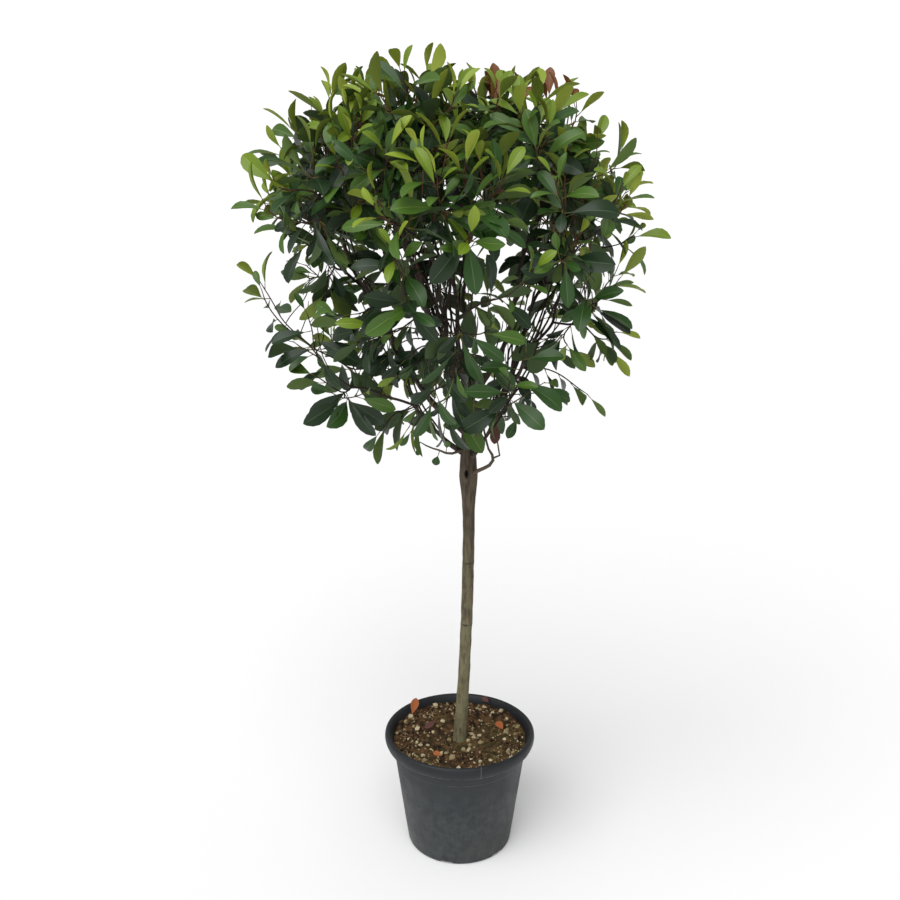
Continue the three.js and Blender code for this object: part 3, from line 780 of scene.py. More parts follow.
def mix_colour(tree, share, low, high):
    """A colour between two, by a share."""
    node = tree.nodes.new("ShaderNodeMix")
    node.data_type = "RGBA"
    for socket, value in zip((node.inputs[0], node.inputs[6], node.inputs[7]), (share, low, high)):
        feed(tree, socket, value)
    return node.outputs[2]


def washed(tree, colour, tone, mask, strength):
    """A colour washed over with a tone by a mask, at most by the strength."""
    return mix_colour(tree, times(tree, mask, strength), colour, tone)


def object_point(tree, scale=(1, 1, 1)):
    """Object coordinates, stretched by a scale."""
    coordinates = tree.nodes.new("ShaderNodeTexCoord")
    mapping = add_node(tree, "ShaderNodeMapping", Vector=coordinates.outputs["Object"], Scale=scale)
    return mapping.outputs["Vector"]


def object_axes(tree):
    """Object coordinates as X, Y and Z."""
    return add_node(tree, "ShaderNodeSeparateXYZ", Vector=object_point(tree)).outputs


def distance_from(tree, place, stretch):
    """Distance of the surface from a place, both stretched alike."""
    node = tree.nodes.new("ShaderNodeVectorMath")
    node.operation = "DISTANCE"
    for socket, value in zip(node.inputs, (object_point(tree, stretch), place * stretch)):
        feed(tree, socket, value)
    return node.outputs["Value"]


def band(tree, value, low, high):
    """A mask that rises from 0 at low to 1 at high."""
    node = add_node(tree, "ShaderNodeMapRange", Value=value, From_Min=low, From_Max=high)
    node.interpolation_type = "SMOOTHSTEP"
    return node.outputs["Result"]


def mottle_group():
    """Patches and grain: a mask of soft patches, a mask of fine specks and a height for bump."""
    group = bpy.data.node_groups.new("mottle", "ShaderNodeTree")
    sockets = group.interface
    sockets.new_socket("Point", in_out="INPUT", socket_type="NodeSocketVector")
    for name, value in (("Patch Scale", 20.0), ("Grain Scale", 400.0), ("Speck Share", 0.62)):
        sockets.new_socket(name, in_out="INPUT", socket_type="NodeSocketFloat").default_value = value
    for name in ("Patches", "Specks", "Height"):
        sockets.new_socket(name, in_out="OUTPUT", socket_type="NodeSocketFloat")
    given = group.nodes.new("NodeGroupInput").outputs
    result = group.nodes.new("NodeGroupOutput").inputs
    noises = []
    for scale, detail in ((given["Patch Scale"], 5.0), (given["Grain Scale"], 3.0)):
        noise = add_node(group, "ShaderNodeTexNoise", Vector=given["Point"], Scale=scale, Detail=detail)
        noises.append(noise.outputs["Fac"])
    patches, grain = noises
    over = math_node(group, "SUBTRACT", grain, given["Speck Share"])
    group.links.new(band(group, patches, 0.36, 0.66), result["Patches"])
    group.links.new(math_node(group, "MULTIPLY", over, 14.0, clamp=True), result["Specks"])
    group.links.new(math_node(group, "MULTIPLY_ADD", grain, 0.6, patches), result["Height"])
    return group


MOTTLE = mottle_group()


def mottle(tree, patches, grain, specks=0.62, stretch=(1, 1, 1)):
    """The mottle effect placed in a material, on its Object coordinates: the scales of its patches and its
    grain, in turns to the metre, and how rare its specks are."""
    node = tree.nodes.new("ShaderNodeGroup")
    node.node_tree = MOTTLE
    for socket, value in zip(node.inputs, (object_point(tree, stretch), patches, grain, specks)):
        feed(tree, socket, value)
    return node.outputs


def add_bump(tree, shader, height, distance):
    """Bump from a height, at a distance in metres."""
    bump = add_node(tree, "ShaderNodeBump", Height=height, Distance=distance, Strength=1.0)
    tree.links.new(bump.outputs["Normal"], shader.inputs["Normal"])


# Materials. Tones are red, green and blue from 0 to 255
BARK_TONES = {
    "shade": (78, 71, 53), "light": (116, 107, 83), "patch": (112, 109, 80),
    # The hollow tone is painted shade for the knot's hollow
    "pore": (66, 60, 46), "scar": (56, 50, 38), "knot_painted_shade": (16, 13, 10),
    "knuckle_shade": (58, 50, 41), "knuckle_light": (88, 77, 63),
}
KNUCKLE_BROWN = (FOOT + 0.14, FOOT + 0.76)
BOUGH_TONES = {"shade": (42, 35, 30), "light": (80, 69, 59)}
PLASTIC_TONES = {
    "wall": (37, 41, 44), "streak": (46, 50, 53), "blotch": (64, 68, 70), "dust": (72, 74, 68),
    "collar": (36, 40, 43), "rim": (21, 24, 28), "dusty_rim": (31, 35, 39), "seam": (110, 108, 108),
    "worn": (128, 122, 122), "speck": (112, 114, 112),
}
DUSTY_FOOT = (0.0, 0.2)
DARK_COLLAR = (0.12, LIP_HEIGHT)
RIM_EDGE = (LIP_HEIGHT - 0.001, LIP_HEIGHT + 0.001)
SEAM_FOOT = (LIP_HEIGHT, LIP_HEIGHT + 0.002)
LIP_SCUFF_RISE = 0.0012
LIP_SCUFF = 0.0011
SHOULDER_SCUFF = 0.0007
CLEAN_ROUGHNESS = 0.46
DUST_ROUGHENING = 0.18
SOIL_TONES = {"dark": (33, 21, 13), "light": (90, 64, 41), "green": (84, 82, 42)}


def bark_material():
    """Smooth olive-grey stem bark: fine streaks, pale patches, dark pores and ring scars, and a browner
    knuckle whose knot hollow is painted dark as shade."""
    material, tree, shader = new_material("stem_bark", roughness=0.82, specular=0.3)
    tone = palette(BARK_TONES)
    streaks = mottle(tree, patches=130, grain=620, specks=0.60, stretch=(1, 1, 0.16))
    patches = mottle(tree, patches=44, grain=900, specks=0.58)
    height = object_axes(tree)["Z"]
    stem = mix_colour(tree, streaks["Patches"], tone["shade"], tone["light"])
    stem = mix_colour(tree, patches["Patches"], stem, tone["patch"])
    knuckle = mix_colour(tree, streaks["Patches"], tone["knuckle_shade"], tone["knuckle_light"])
    colour = mix_colour(tree, band(tree, height, *KNUCKLE_BROWN), stem, knuckle)
    colour = mix_colour(tree, streaks["Specks"], colour, tone["pore"])
    for scar in RING_SCARS:
        ring = math_node(tree, "COMPARE", height, FOOT + scar, SCAR_STAIN)
        colour = washed(tree, colour, tone["scar"], ring, patches["Patches"])
    # Painted shade: near black in the knot's hollow, where the recess lies in shade
    beyond_knot_shade = band(tree, distance_from(tree, KNOT_PLACE, KNOT_SHADE_STRETCH), *KNOT_SHADE_REACH)
    colour = mix_colour(tree, beyond_knot_shade, tone["knot_painted_shade"], colour)
    tree.links.new(colour, shader.inputs["Base Color"])
    add_bump(tree, shader, streaks["Height"], distance=0.0012)
    return material


def bough_material():
    """Grey-brown bark of the boughs."""
    material, tree, shader = new_material("bough_bark", roughness=0.8, specular=0.3)
    tone = palette(BOUGH_TONES)
    grain = mottle(tree, patches=90, grain=700, specks=0.6)
    wood = mix_colour(tree, grain["Patches"], tone["shade"], tone["light"])
    tree.links.new(wood, shader.inputs["Base Color"])
    add_bump(tree, shader, grain["Height"], distance=0.0008)
    return material


def wall_colour(tree, tone, height, streaks, dust):
    """The pot's wall: streaked and blotched, dusty near the ground and darker towards the rim."""
    blotches = mottle(tree, patches=60, grain=1500)
    wall = mix_colour(tree, streaks["Patches"], tone["wall"], tone["streak"])
    wall = washed(tree, wall, tone["blotch"], blotches["Patches"], strength=0.5)
    low = math_node(tree, "SUBTRACT", 1.0, band(tree, height, *DUSTY_FOOT))
    wall = washed(tree, wall, tone["dust"], times(tree, low, dust["Patches"]), strength=0.4)
    return mix_colour(tree, band(tree, height, *DARK_COLLAR), wall, tone["collar"])


def seam_mask(tree, place):
    """The mould's seam, an upright line on the front of the rim."""
    line = math_node(tree, "COMPARE", place["X"], RIM_RADIUS * math.sin(SEAM_TURN), SEAM_HALF_WIDTH)
    line = times(tree, line, band(tree, place["Z"], *SEAM_FOOT))
    return times(tree, line, math_node(tree, "LESS_THAN", place["Y"], -RIM_INNER_RADIUS / 2))


def worn_mask(tree, height, streaks):
    """Scuffs along the lip's lower edge and, fainter, along the stacking shoulder."""
    edge = math_node(tree, "COMPARE", height, LIP_HEIGHT + LIP_SCUFF_RISE, LIP_SCUFF)
    shoulder = math_node(tree, "COMPARE", height, SHOULDER_HEIGHT + SHOULDER_STEP, SHOULDER_SCUFF)
    worn = math_node(tree, "MAXIMUM", edge, times(tree, shoulder, 0.6))
    return times(tree, worn, streaks["Patches"])


def plastic_material():
    """Dusty dark slate plastic: a streaked wall, a darker rim with a seam, scuffed edges and pale specks."""
    material, tree, shader = new_material("pot_plastic", roughness=0.55, specular=0.34)
    tone = palette(PLASTIC_TONES)
    streaks = mottle(tree, patches=120, grain=700, specks=0.62, stretch=(1, 1, 0.10))
    dust = mottle(tree, patches=11, grain=1100, specks=0.64)
    place = object_axes(tree)
    height = place["Z"]
    wall = wall_colour(tree, tone, height, streaks, dust)
    rim = mix_colour(tree, dust["Patches"], tone["rim"], tone["dusty_rim"])
    colour = mix_colour(tree, band(tree, height, *RIM_EDGE), wall, rim)
    colour = washed(tree, colour, tone["seam"], seam_mask(tree, place), strength=0.5)
    colour = washed(tree, colour, tone["worn"], worn_mask(tree, height, streaks), strength=0.55)
    colour = washed(tree, colour, tone["speck"], dust["Specks"], strength=0.30)
    tree.links.new(colour, shader.inputs["Base Color"])
    rough = math_node(tree, "MULTIPLY_ADD", dust["Patches"], DUST_ROUGHENING, CLEAN_ROUGHNESS)
    tree.links.new(rough, shader.inputs["Roughness"])
    add_bump(tree, shader, dust["Height"], distance=0.0004)
    return material


def soil_material():
    """Moist crumbly soil with a thin green cast where it stays damp."""
    material, tree, shader = new_material("soil", roughness=0.95, specular=0.2)
    tone = palette(SOIL_TONES)
    crumbs = mottle(tree, patches=70, grain=420, specks=0.55)
    damp = mottle(tree, patches=9, grain=300, specks=0.6)
    earth = mix_colour(tree, crumbs["Patches"], tone["dark"], tone["light"])
    colour = washed(tree, earth, tone["green"], damp["Patches"], strength=0.28)
    tree.links.new(colour, shader.inputs["Base Color"])
    add_bump(tree, shader, crumbs["Height"], distance=0.004)
    return material


# Plain tones, dealt out by twig, by stalk and by leaf
# Twig tones: the pale tone, given to twigs that start at the knuckle, is painted light, and the shaded tone,
# dealt at random against the grey, is painted shade. The young tone is red young wood
TWIG_TONES = {"shaded": (42, 35, 30), "grey": (64, 55, 48), "lit_pale": (94, 83, 71), "young": (84, 51, 40)}
LIT_WOOD_HEIGHT = 0.06
RED_TIP_HEIGHT = 0.5
RED_TIP_LENGTH = 0.040
TWIG_SEED_STEP = 100
STALK_TONES = {"green": (99, 94, 51), "red": (84, 51, 40)}
DRY_TINTS = {"rust": (150, 84, 40), "umber": (86, 54, 46)}
# Tints of leaf: tones of upper side, under side and rib, roughness of the upper side, and the record's slot
LeafTint = namedtuple("LeafTint", "upper under rib roughness slot")
LEAF_TINTS = {
    "dark": LeafTint((26, 47, 22), (60, 79, 43), (60, 84, 51), 0.36, "leaf_low"),
    "deep": LeafTint((43, 74, 28), (82, 104, 48), (82, 108, 56), 0.37, "leaf_low"),
    "green": LeafTint((66, 97, 31), (110, 126, 46), (104, 128, 52), 0.40, "leaf_middle"),
    "fresh": LeafTint((104, 128, 31), (132, 147, 46), (136, 152, 58), 0.43, "leaf_upper"),
    "young": LeafTint((128, 148, 42), (146, 158, 54), (154, 166, 70), 0.46, "leaf_top"),
    "bronze": LeafTint((114, 70, 35), (128, 86, 42), (136, 92, 50), 0.46, "leaf_top"),
}
LEAF_SHINE = 0.34
TINT_NAMES = list(LEAF_TINTS)
FRESH = TINT_NAMES.index("fresh")
BRONZE = TINT_NAMES.index("bronze")


def plain_material(name, tone, roughness=0.9, specular=0.2):
    """A material of one plain tone, dull unless told otherwise."""
    return new_material(name, roughness, linear(*tone), specular)[0]


def plain_materials(kind, tones):
    """A plain dull material for each of a kind's tones."""
    return [plain_material(f"{kind}_{name}", tone) for name, tone in tones.items()]


def leaf_materials(name):
    """Upper side, rib and under side of one tint."""
    tint = LEAF_TINTS[name]
    return [
        plain_material(f"leaf_{name}", tint.upper, tint.roughness, LEAF_SHINE),
        plain_material(f"leaf_{name}_rib", tint.rib, roughness=0.5, specular=0.5),
        plain_material(f"leaf_{name}_under", tint.under, roughness=0.62, specular=LEAF_SHINE),
    ]


# Leaves

def leaf_outline(share):
    """Half width along the blade as a share of its greatest: two powers that meet, widest past the middle."""
    widest = LEAF_RISE / (LEAF_RISE + LEAF_FALL)
    return (share / widest) ** LEAF_RISE * ((1 - share) / (1 - widest)) ** LEAF_FALL


def blade_points(leaves, share, aside, drop):
    """Points on blades: share runs along the blade, aside from -1 to 1 across it, and drop below its face.
    The rib bends back with the square of the way along it, the halves fold up from it, and the margin
    waves."""
    columns = {key: values[:, None] for key, values in leaves.items()}
    length, curl = columns["length"], columns["curl"]
    bend = curl * share**2
    ahead = length * (share - curl**2 * share**5 / 10)
    sink = length * (curl * share**3 / 3 - curl**3 * share**7 / 42)
    half = columns["width"] / 2 * leaf_outline(share)
    fold = columns["fold"] * (1 - FOLD_EASING * share)
    phase = MARGIN_WAVE_PACE * share + columns["phase"] + MARGIN_WAVE_LAG * np.sign(aside)
    wave = MARGIN_WAVE * np.sin(phase) * np.abs(aside)
    lift = half * (np.abs(aside) * np.sin(fold) + wave) - drop
    side = half * aside * np.cos(fold)
    ahead = ahead + lift * np.sin(bend)
    level = lift * np.cos(bend) - sink
    points = columns["base"] + ahead[..., None] * columns["out"] + level[..., None] * columns["face"]
    return points + side[..., None] * columns["across"]


def blade_template():
    """Faces of one blade, with its material per face. Root and tip are single points. In each row the upper
    side has four points, and the under side has one more between the margins. Both sides split along the same
    diagonals."""
    rows, upper, under = len(LEAF_ROWS), len(UPPER_COLUMNS), len(UNDER_COLUMNS)
    start = 2 + np.arange(rows)[:, None] * (upper + under)
    top = start + np.arange(upper)
    low = np.concatenate([top[:, :1], start + upper + np.arange(under), top[:, -1:]], axis=1)
    rib = (np.arange(upper - 1) == upper // 2 - 1).astype(int)
    quads, triangles, quad_looks, triangle_looks = [], [], [], []
    for columns, looks, turned in ((top, rib, False), (low, np.full(under + 1, 2), True)):
        near, far = columns[:-1], columns[1:]
        quad = np.stack([near[:, :-1], far[:, :-1], far[:, 1:], near[:, 1:]], axis=-1).reshape(-1, 4)
        root = np.stack([np.zeros_like(columns[0, 1:]), columns[0, :-1], columns[0, 1:]], axis=-1)
        tip = np.stack([columns[-1, :-1], np.ones_like(columns[0, 1:]), columns[-1, 1:]], axis=-1)
        kinds = (
            (quad, quads, quad_looks),
            (root, triangles, triangle_looks),
            (tip, triangles, triangle_looks),
        )
        for faces, kind, kept in kinds:
            kind.append(np.roll(faces[:, ::-1], -1, axis=1) if turned else faces)
            kept.append(np.tile(looks, len(faces) // len(looks)))
    return np.concatenate(quads), np.concatenate(triangles), np.concatenate(quad_looks + triangle_looks)


QUADS, TRIANGLES, FACE_LOOKS = blade_template()


def leaf_piece(name, leaves, materials):
    """All leaves of one tint as one piece: the template's faces on each blade's points."""
    count, rows = len(leaves["length"]), len(LEAF_ROWS)
    columns = np.concatenate([UPPER_COLUMNS, UNDER_COLUMNS])
    below = np.concatenate([np.zeros(len(UPPER_COLUMNS)), np.full(len(UNDER_COLUMNS), LEAF_THICKNESS)])
    share = np.concatenate([[0.0, 1.0], np.repeat(LEAF_ROWS, len(columns))])
    aside = np.concatenate([[0.0, 0.0], np.tile(columns, rows)])
    drop = np.concatenate([[0.0, 0.0], np.tile(below, rows)])
    verts = blade_points(leaves, share[None], aside[None], drop[None])
    base = np.arange(count)[:, None, None] * len(share)
    faces = [(QUADS[None] + base).reshape(-1, 4), (TRIANGLES[None] + base).reshape(-1, 3)]
    looks = np.concatenate([np.tile(kind, count) for kind in np.split(FACE_LOOKS, [len(QUADS)])])
    return make_piece(name, verts.reshape(-1, 3), faces, materials, looks, LEAF_CREASE)


def turned_frame(out, face):
    """A leaf's three directions: along the blade, out of its upper side, and across it."""
    out = unit(out)
    face = unit(face - dot(face, out) * out)
    return dict(out=out, face=face, across=np.cross(face, out))


def spray_habit(tip, item):
    """How a spray grows at its place: the light it gets, how full it is, its leaf count and their spacing.
    Sprays high in the crown are dense rosettes, and those low in it are loose, with leaves on two sides."""
    outward = np.clip(crown_share(tip) / LIT_REACH, 0, 1) ** 2
    height = max(crown_height(tip), 0.0)
    light = between(CROWN_LIGHT, height**CROWN_LIGHT_GROWTH) * outward + LIGHT_SPREAD * sway(item, 5)
    fullness = smooth_step(height, *SPRAY_HEIGHTS)
    count = between(SPRAY_LEAVES, fullness) + SPRAY_LEAVES_SPREAD * sway(item, 6)
    return np.clip(light, 0, 1), fullness, int(round(count)), between(SPRAY_SPACING, fullness)


def leaf_turns(item, leaf_item, index, fullness):
    """Turn of each leaf round its shoot: by the golden angle in rosettes, to either side in loose sprays."""
    rosette = fullness > ROSETTE_FULLNESS
    start = item * ROSETTE_TURN if rosette else 0.0
    step = GOLDEN_ANGLE if rosette else math.pi
    return start + index * step + LEAF_TURN_SPREAD * sway(leaf_item, 7)


def leaf_stance(at, along, turn, age, light, fullness, leaf_item):
    """Directions of a shoot's leaves: upright at the tip, spreading and drooping below it, and turned a
    little outwards and to the sky."""
    level = unit(np.cross(along, NEARLY_UP))
    side = np.cos(turn) * level + np.sin(turn) * np.cross(along, level)
    angle = between(LEAF_ANGLE, age**LEAF_ANGLE_GROWTH) + LEAF_ANGLE_SPREAD * sway(leaf_item, 8)
    angle = angle[:, None]
    loose = 1 - fullness
    droop = LEAF_DROOP + OLD_LEAF_DROOP * age * (OLD_LEAF_SHADE - light)
    droop = droop + LOOSE_LEAF_DROOP * loose * chance(leaf_item, 16)
    out = unit(along * np.cos(angle) + side * np.sin(angle)) - UP * droop[:, None]
    face = along * np.sin(angle) - side * np.cos(angle)
    sky = unit(at - CROWN_MIDDLE) + UP
    return turned_frame(out, face + (LEAF_TO_LIGHT + LOOSE_LEAF_TO_LIGHT * loose) * sky)


def leaf_tints(tip, item, index, youth):
    """Number of each leaf's tint: lighter the younger it is, and bronze at some tips high on one side."""
    bronze = (tip[0] > BRONZE_FROM_X) & (crown_height(tip) > BRONZE_FROM_HEIGHT) & (chance(item, 10) > 0.5)
    return np.where(bronze & (index < BRONZE_LEAVES), BRONZE, np.digitize(youth, TINT_STEPS))


def shoot_leaves(line, back, item):
    """Leaves of one shoot, from its tip down. Younger leaves are lighter, narrower and more folded, and light
    ones grow where the crown is open to the sky."""
    tip = line[-1]
    light, fullness, count, spacing = spray_habit(tip, item)
    index = np.arange(count)
    leaf_item = item * ITEMS_PER_SHOOT + index
    age = index / max(count - 1, 1)
    youth = np.clip(light * (YOUNGEST - age) + YOUTH_SPREAD * sway(leaf_item, 9), 0, 1)
    distance = np.minimum(FIRST_LEAF + spacing * index**SPRAY_SPACING_GROWTH, LAST_LEAF_SHARE * back[0])
    at = along_line(line, back, distance)
    ahead, behind = np.maximum(distance - SLOPE_STEP, 0), distance + SLOPE_STEP
    along = unit(along_line(line, back, ahead) - along_line(line, back, behind))
    turn = leaf_turns(item, leaf_item, index, fullness)[:, None]
    stance = leaf_stance(at, along, turn, age, light, fullness, leaf_item)
    length = LEAF_LENGTH * between(LEAF_LENGTH_SPREAD, chance(leaf_item, 11))
    length = length * between(LEAF_LENGTH_BY_AGE, np.sqrt(age))
    width = LEAF_WIDTH * between(LEAF_WIDTH_SPREAD, chance(leaf_item, 12))
    width = width * between(LEAF_WIDTH_BY_YOUTH, youth)
    return dict(
        twig=at,
        base=at + stance["out"] * PETIOLE,
        length=length,
        width=length * width,
        fold=between(LEAF_FOLD, chance(leaf_item, 13)) + YOUNG_LEAF_FOLD * youth,
        curl=between(LEAF_CURL, chance(leaf_item, 14)),
        phase=MARGIN_WAVE_PHASES * chance(leaf_item, 15),
        tint=leaf_tints(tip, item, index, youth),
        **stance,
    )


def placed_leaves(rows):
    """Leaves placed one by one from the root of the stalk to the tip of the blade, facing the front and, by
    the lift given, the sky."""
    root, tip, width, lift, tint = (np.array(column) for column in zip(*rows))
    length = np.linalg.norm(tip - root, axis=1) - PETIOLE
    stance = turned_frame(tip - root, PLACED_FACING + lift[:, None] * UP)
    return dict(
        twig=root,
        base=root + stance["out"] * PETIOLE,
        length=length,
        width=length * width,
        fold=np.full(len(rows), PLACED_FOLD),
        curl=np.full(len(rows), PLACED_CURL),
        phase=np.arange(len(rows)) * PLACED_PHASE_STEP,
        tint=np.argmax(tint[:, None] == TINT_NAMES, axis=1),
        **stance,
    )


def joined(parts):
    """Records of arrays joined end to end."""
    return {key: np.concatenate([part[key] for part in parts]) for key in parts[0]}


def chosen(leaves, mask):
    """The leaves that a mask picks out."""
    return {key: values[mask] for key, values in leaves.items()}


def stalk_piece(leaves):
    """Leaf stalks: short tubes from the twig to the blade, sunk a little into both."""
    start = leaves["twig"]
    end = leaves["base"] + leaves["out"] * SUNK_END
    share = np.linspace(0, 1, len(STALK_RADII))[None, :, None]
    paths = start[:, None] + (end - start)[:, None] * share
    verts, walls, caps = tubes(paths, np.tile(STALK_RADII, (len(start), 1)), STALK_SIDES)
    young = (leaves["tint"] >= FRESH).astype(int)
    looks = np.concatenate([np.repeat(young, len(walls) // len(start)), young, young])
    return make_piece("leaf_stalks", verts, [walls, caps], plain_materials("stalk", STALK_TONES), looks)


def twig_looks(paths, back):
    """Tone of each twig's foot and of each step along it: pale at the knuckle as painted light, shaded at
    random as painted shade or else grey in the crown, and red near lit tips."""
    shaded, grey, lit_pale, red = range(len(TWIG_TONES))
    count, stations = back.shape
    wood = np.where(chance(np.arange(count) + TWIG_SEED_STEP * stations, 47) > 0.5, shaded, grey)
    # Painted light: twigs that start at the knuckle take the pale tone, as lit wood
    wood = np.where(crown_height(paths[:, 0]) < LIT_WOOD_HEIGHT, lit_pale, wood)
    lit = crown_height(paths[:, -1]) > RED_TIP_HEIGHT
    return wood, np.where((back[:, 1:] < RED_TIP_LENGTH) & lit[:, None], red, wood[:, None])


def twig_piece(shoots):
    """Twigs as tubes, made together for each number of stations."""
    verts, quads, caps, looks, cap_looks = [], [], [], [], []
    total = 0
    for count in sorted({len(line) for line, _, _ in shoots}):
        same = [shoot for shoot in shoots if len(shoot[0]) == count]
        paths, radii, back = (np.stack(column) for column in zip(*same))
        points, walls, ends = tubes(paths, radii, TWIG_SIDES)
        wood, tone = twig_looks(paths, back)
        verts.append(points)
        quads.append(walls + total)
        caps.append(ends + total)
        looks.append(np.repeat(tone.ravel(), TWIG_SIDES))
        cap_looks.append(np.concatenate([wood, tone[:, -1]]))
        total += len(points)
    faces = [np.concatenate(quads), np.concatenate(caps)]
    materials = plain_materials("twig", TWIG_TONES)
    return make_piece("twigs", np.concatenate(verts), faces, materials, np.concatenate(looks + cap_looks))


def crown_pieces(plan, shoots, bare):
    """Twigs, stalks and leaves, which together stand for the masses."""
    masses = [f"leaves_{bough['name']}" for bough in plan] + ["leaves_top"]
    sprays = [shoot_leaves(line, back, item) for item, (line, _, back) in enumerate(shoots)]
    leaves = joined(sprays + [placed_leaves(KNUCKLE_LEAVES)])
    pieces = [(twig_piece(shoots + bare), "young_bark"), (stalk_piece(leaves), "young_bark")]
    for number, (name, tint) in enumerate(LEAF_TINTS.items()):
        of_tint = chosen(leaves, leaves["tint"] == number)
        pieces.append((leaf_piece(f"leaves_{name}_tint", of_tint, leaf_materials(name)), tint.slot))
    for piece, slot in pieces:
        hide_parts(*masses)


def dry_pieces():
    """Dry leaves, a piece for each tint."""
    for tint, colour in DRY_TINTS.items():
        tone = plain_material(f"leaf_{tint}", colour, roughness=0.7, specular=LEAF_SHINE)
        leaves = placed_leaves([row for row in DRY_LEAVES if row[-1] == tint])
        piece = leaf_piece(f"dry_leaves_{tint}", leaves, [tone, tone, tone])


# Limbs with relief

def bark_relief(plain, height, angle):
    """How far the stem's bark stands out: low swells, ridges drawn out along the stem, a bead at each ring
    scar that is higher on two sides, and a knot whose hollow has a lip round it."""
    relief = BARK_SWELL * rumple(plain, BARK_SWELL_LENGTH, 5)
    relief = relief + BARK_RIDGE * rumple(plain * BARK_RIDGE_STRETCH, BARK_RIDGE_WIDTH, 6)
    two_sides = 0.6 + 0.4 * np.sin(angle * 2)
    for scar in RING_SCARS:
        relief = relief + SCAR_RELIEF * bell((height - scar) / SCAR_HALF_HEIGHT) * two_sides
    turn = np.angle(np.exp(1j * (angle + math.pi / 2 + KNOT_TURN)))
    spot = (turn * TRUNK_RADIUS / KNOT_HALF_WIDTH) ** 2 + ((height - KNOT_HEIGHT) / KNOT_HALF_HEIGHT) ** 2
    lip = KNOT_LIP * bell((np.sqrt(spot) - KNOT_LIP_PLACE) / KNOT_LIP_WIDTH)
    return relief - KNOT_DEPTH * bell(spot) + lip


def trunk_piece(material):
    """Rings up the trunk's line, whose radius carries the bark's relief."""
    height = np.linspace(0, TRUNK_HEIGHT, TRUNK_ROWS)[:, None]
    angle = ring_angles(TRUNK_COLUMNS)
    ring = np.stack([np.cos(angle), np.sin(angle), np.zeros(TRUNK_COLUMNS)], axis=-1)
    plain = trunk_point(height[:, 0])[:, None] + trunk_radius(height)[..., None] * ring
    verts = plain + bark_relief(plain, height, angle)[..., None] * ring
    verts[0, :, 2] = FOOT
    around = np.arange(TRUNK_COLUMNS)
    caps = np.stack([around[::-1], around + (TRUNK_ROWS - 1) * TRUNK_COLUMNS])
    faces = [grid_faces(TRUNK_ROWS, TRUNK_COLUMNS), caps]
    piece = make_piece("trunk_bark", verts.reshape(-1, 3), faces, [material], sharp_angle=TRUNK_CREASE)
    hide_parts("trunk")


def bough_piece(plan, end_radii, material):
    """Boughs as tubes along their lines, with a collar at the trunk and uneven bark."""
    share = np.linspace(0, 1, BOUGH_STATIONS)
    paths = crooked(bough_points(plan, share))
    first = np.array([bough["ring"]["radius"] for bough in plan])[:, None]
    last = np.array(end_radii[: len(plan)])[:, None]
    collar = BOUGH_COLLAR * np.exp(-share / BOUGH_COLLAR_REACH)
    swell = BOUGH_SWELL * rumple(paths, BOUGH_SWELL_LENGTH, 7)
    radii = between((first, last), share**BOUGH_TAPER) * (1 + collar + swell)
    verts, walls, caps = tubes(paths, radii, BOUGH_SIDES)
    piece = make_piece("bough_bark", verts, [walls, caps], [material])
    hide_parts(*(f"bough_{bough['name']}" for bough in plan))


# Pot

def wall_radius(height):
    """Outer radius of the tapered wall."""
    return BASE_RADIUS + (WALL_TOP_RADIUS - BASE_RADIUS) * height / LIP_HEIGHT


def rounded(corners, steps=6):
    """A profile of corners with a round of its own: each is a radius, a height and the reach of its round,
    which is a quadratic curve between the two points at that reach from the corner."""
    places = np.array([corner[:2] for corner in corners])
    reach = np.array([corner[2] for corner in corners])
    points = [places[:1]]
    for before, corner, after, round_by in zip(places[:-2], places[1:-1], places[2:], reach[1:-1]):
        start = corner + unit(before - corner) * round_by
        end = corner + unit(after - corner) * round_by
        share = np.linspace(0, 1, steps)[:, None]
        points.append(start * (1 - share) ** 2 + 2 * corner * share * (1 - share) + end * share**2)
    return np.concatenate(points + [places[-1:]])


def pot_profile():
    """Underside, foot, wall with its stacking shoulder, rolled rim with a skirt, inner wall and floor."""
    underside = [
        (0.0, 0.0, 0.0),
        (BASE_RADIUS - NOTCH_DEPTH, 0.0, 0.001),
        (BASE_RADIUS, 0.0, 0.007),
    ]
    wall = [
        (wall_radius(0.06), 0.06, 0.004),
        (wall_radius(SHOULDER_HEIGHT) - SHOULDER_STEP, SHOULDER_HEIGHT, 0.0006),
        (wall_radius(SHOULDER_HEIGHT), SHOULDER_HEIGHT + SHOULDER_STEP, 0.0006),
        (WALL_TOP_RADIUS, LIP_HEIGHT, 0.0015),
    ]
    rim = [
        (RIM_RADIUS - 0.007, LIP_HEIGHT, 0.0020),
        (RIM_RADIUS, LIP_HEIGHT + 0.50 * RIM_SKIRT, 0.009),
        (RIM_RADIUS - 0.003, POT_HEIGHT - 0.001, 0.006),
        (RIM_INNER_RADIUS + 0.002, POT_HEIGHT, 0.005),
        (RIM_INNER_RADIUS - 0.004, POT_HEIGHT - 0.010, 0.006),
    ]
    inside = [
        (WALL_TOP_RADIUS - WALL, LIP_HEIGHT, 0.008),
        (wall_radius(FLOOR) - WALL, FLOOR, 0.004),
        (0.0, FLOOR, 0.0),
    ]
    return rounded(underside + wall + rim + inside)


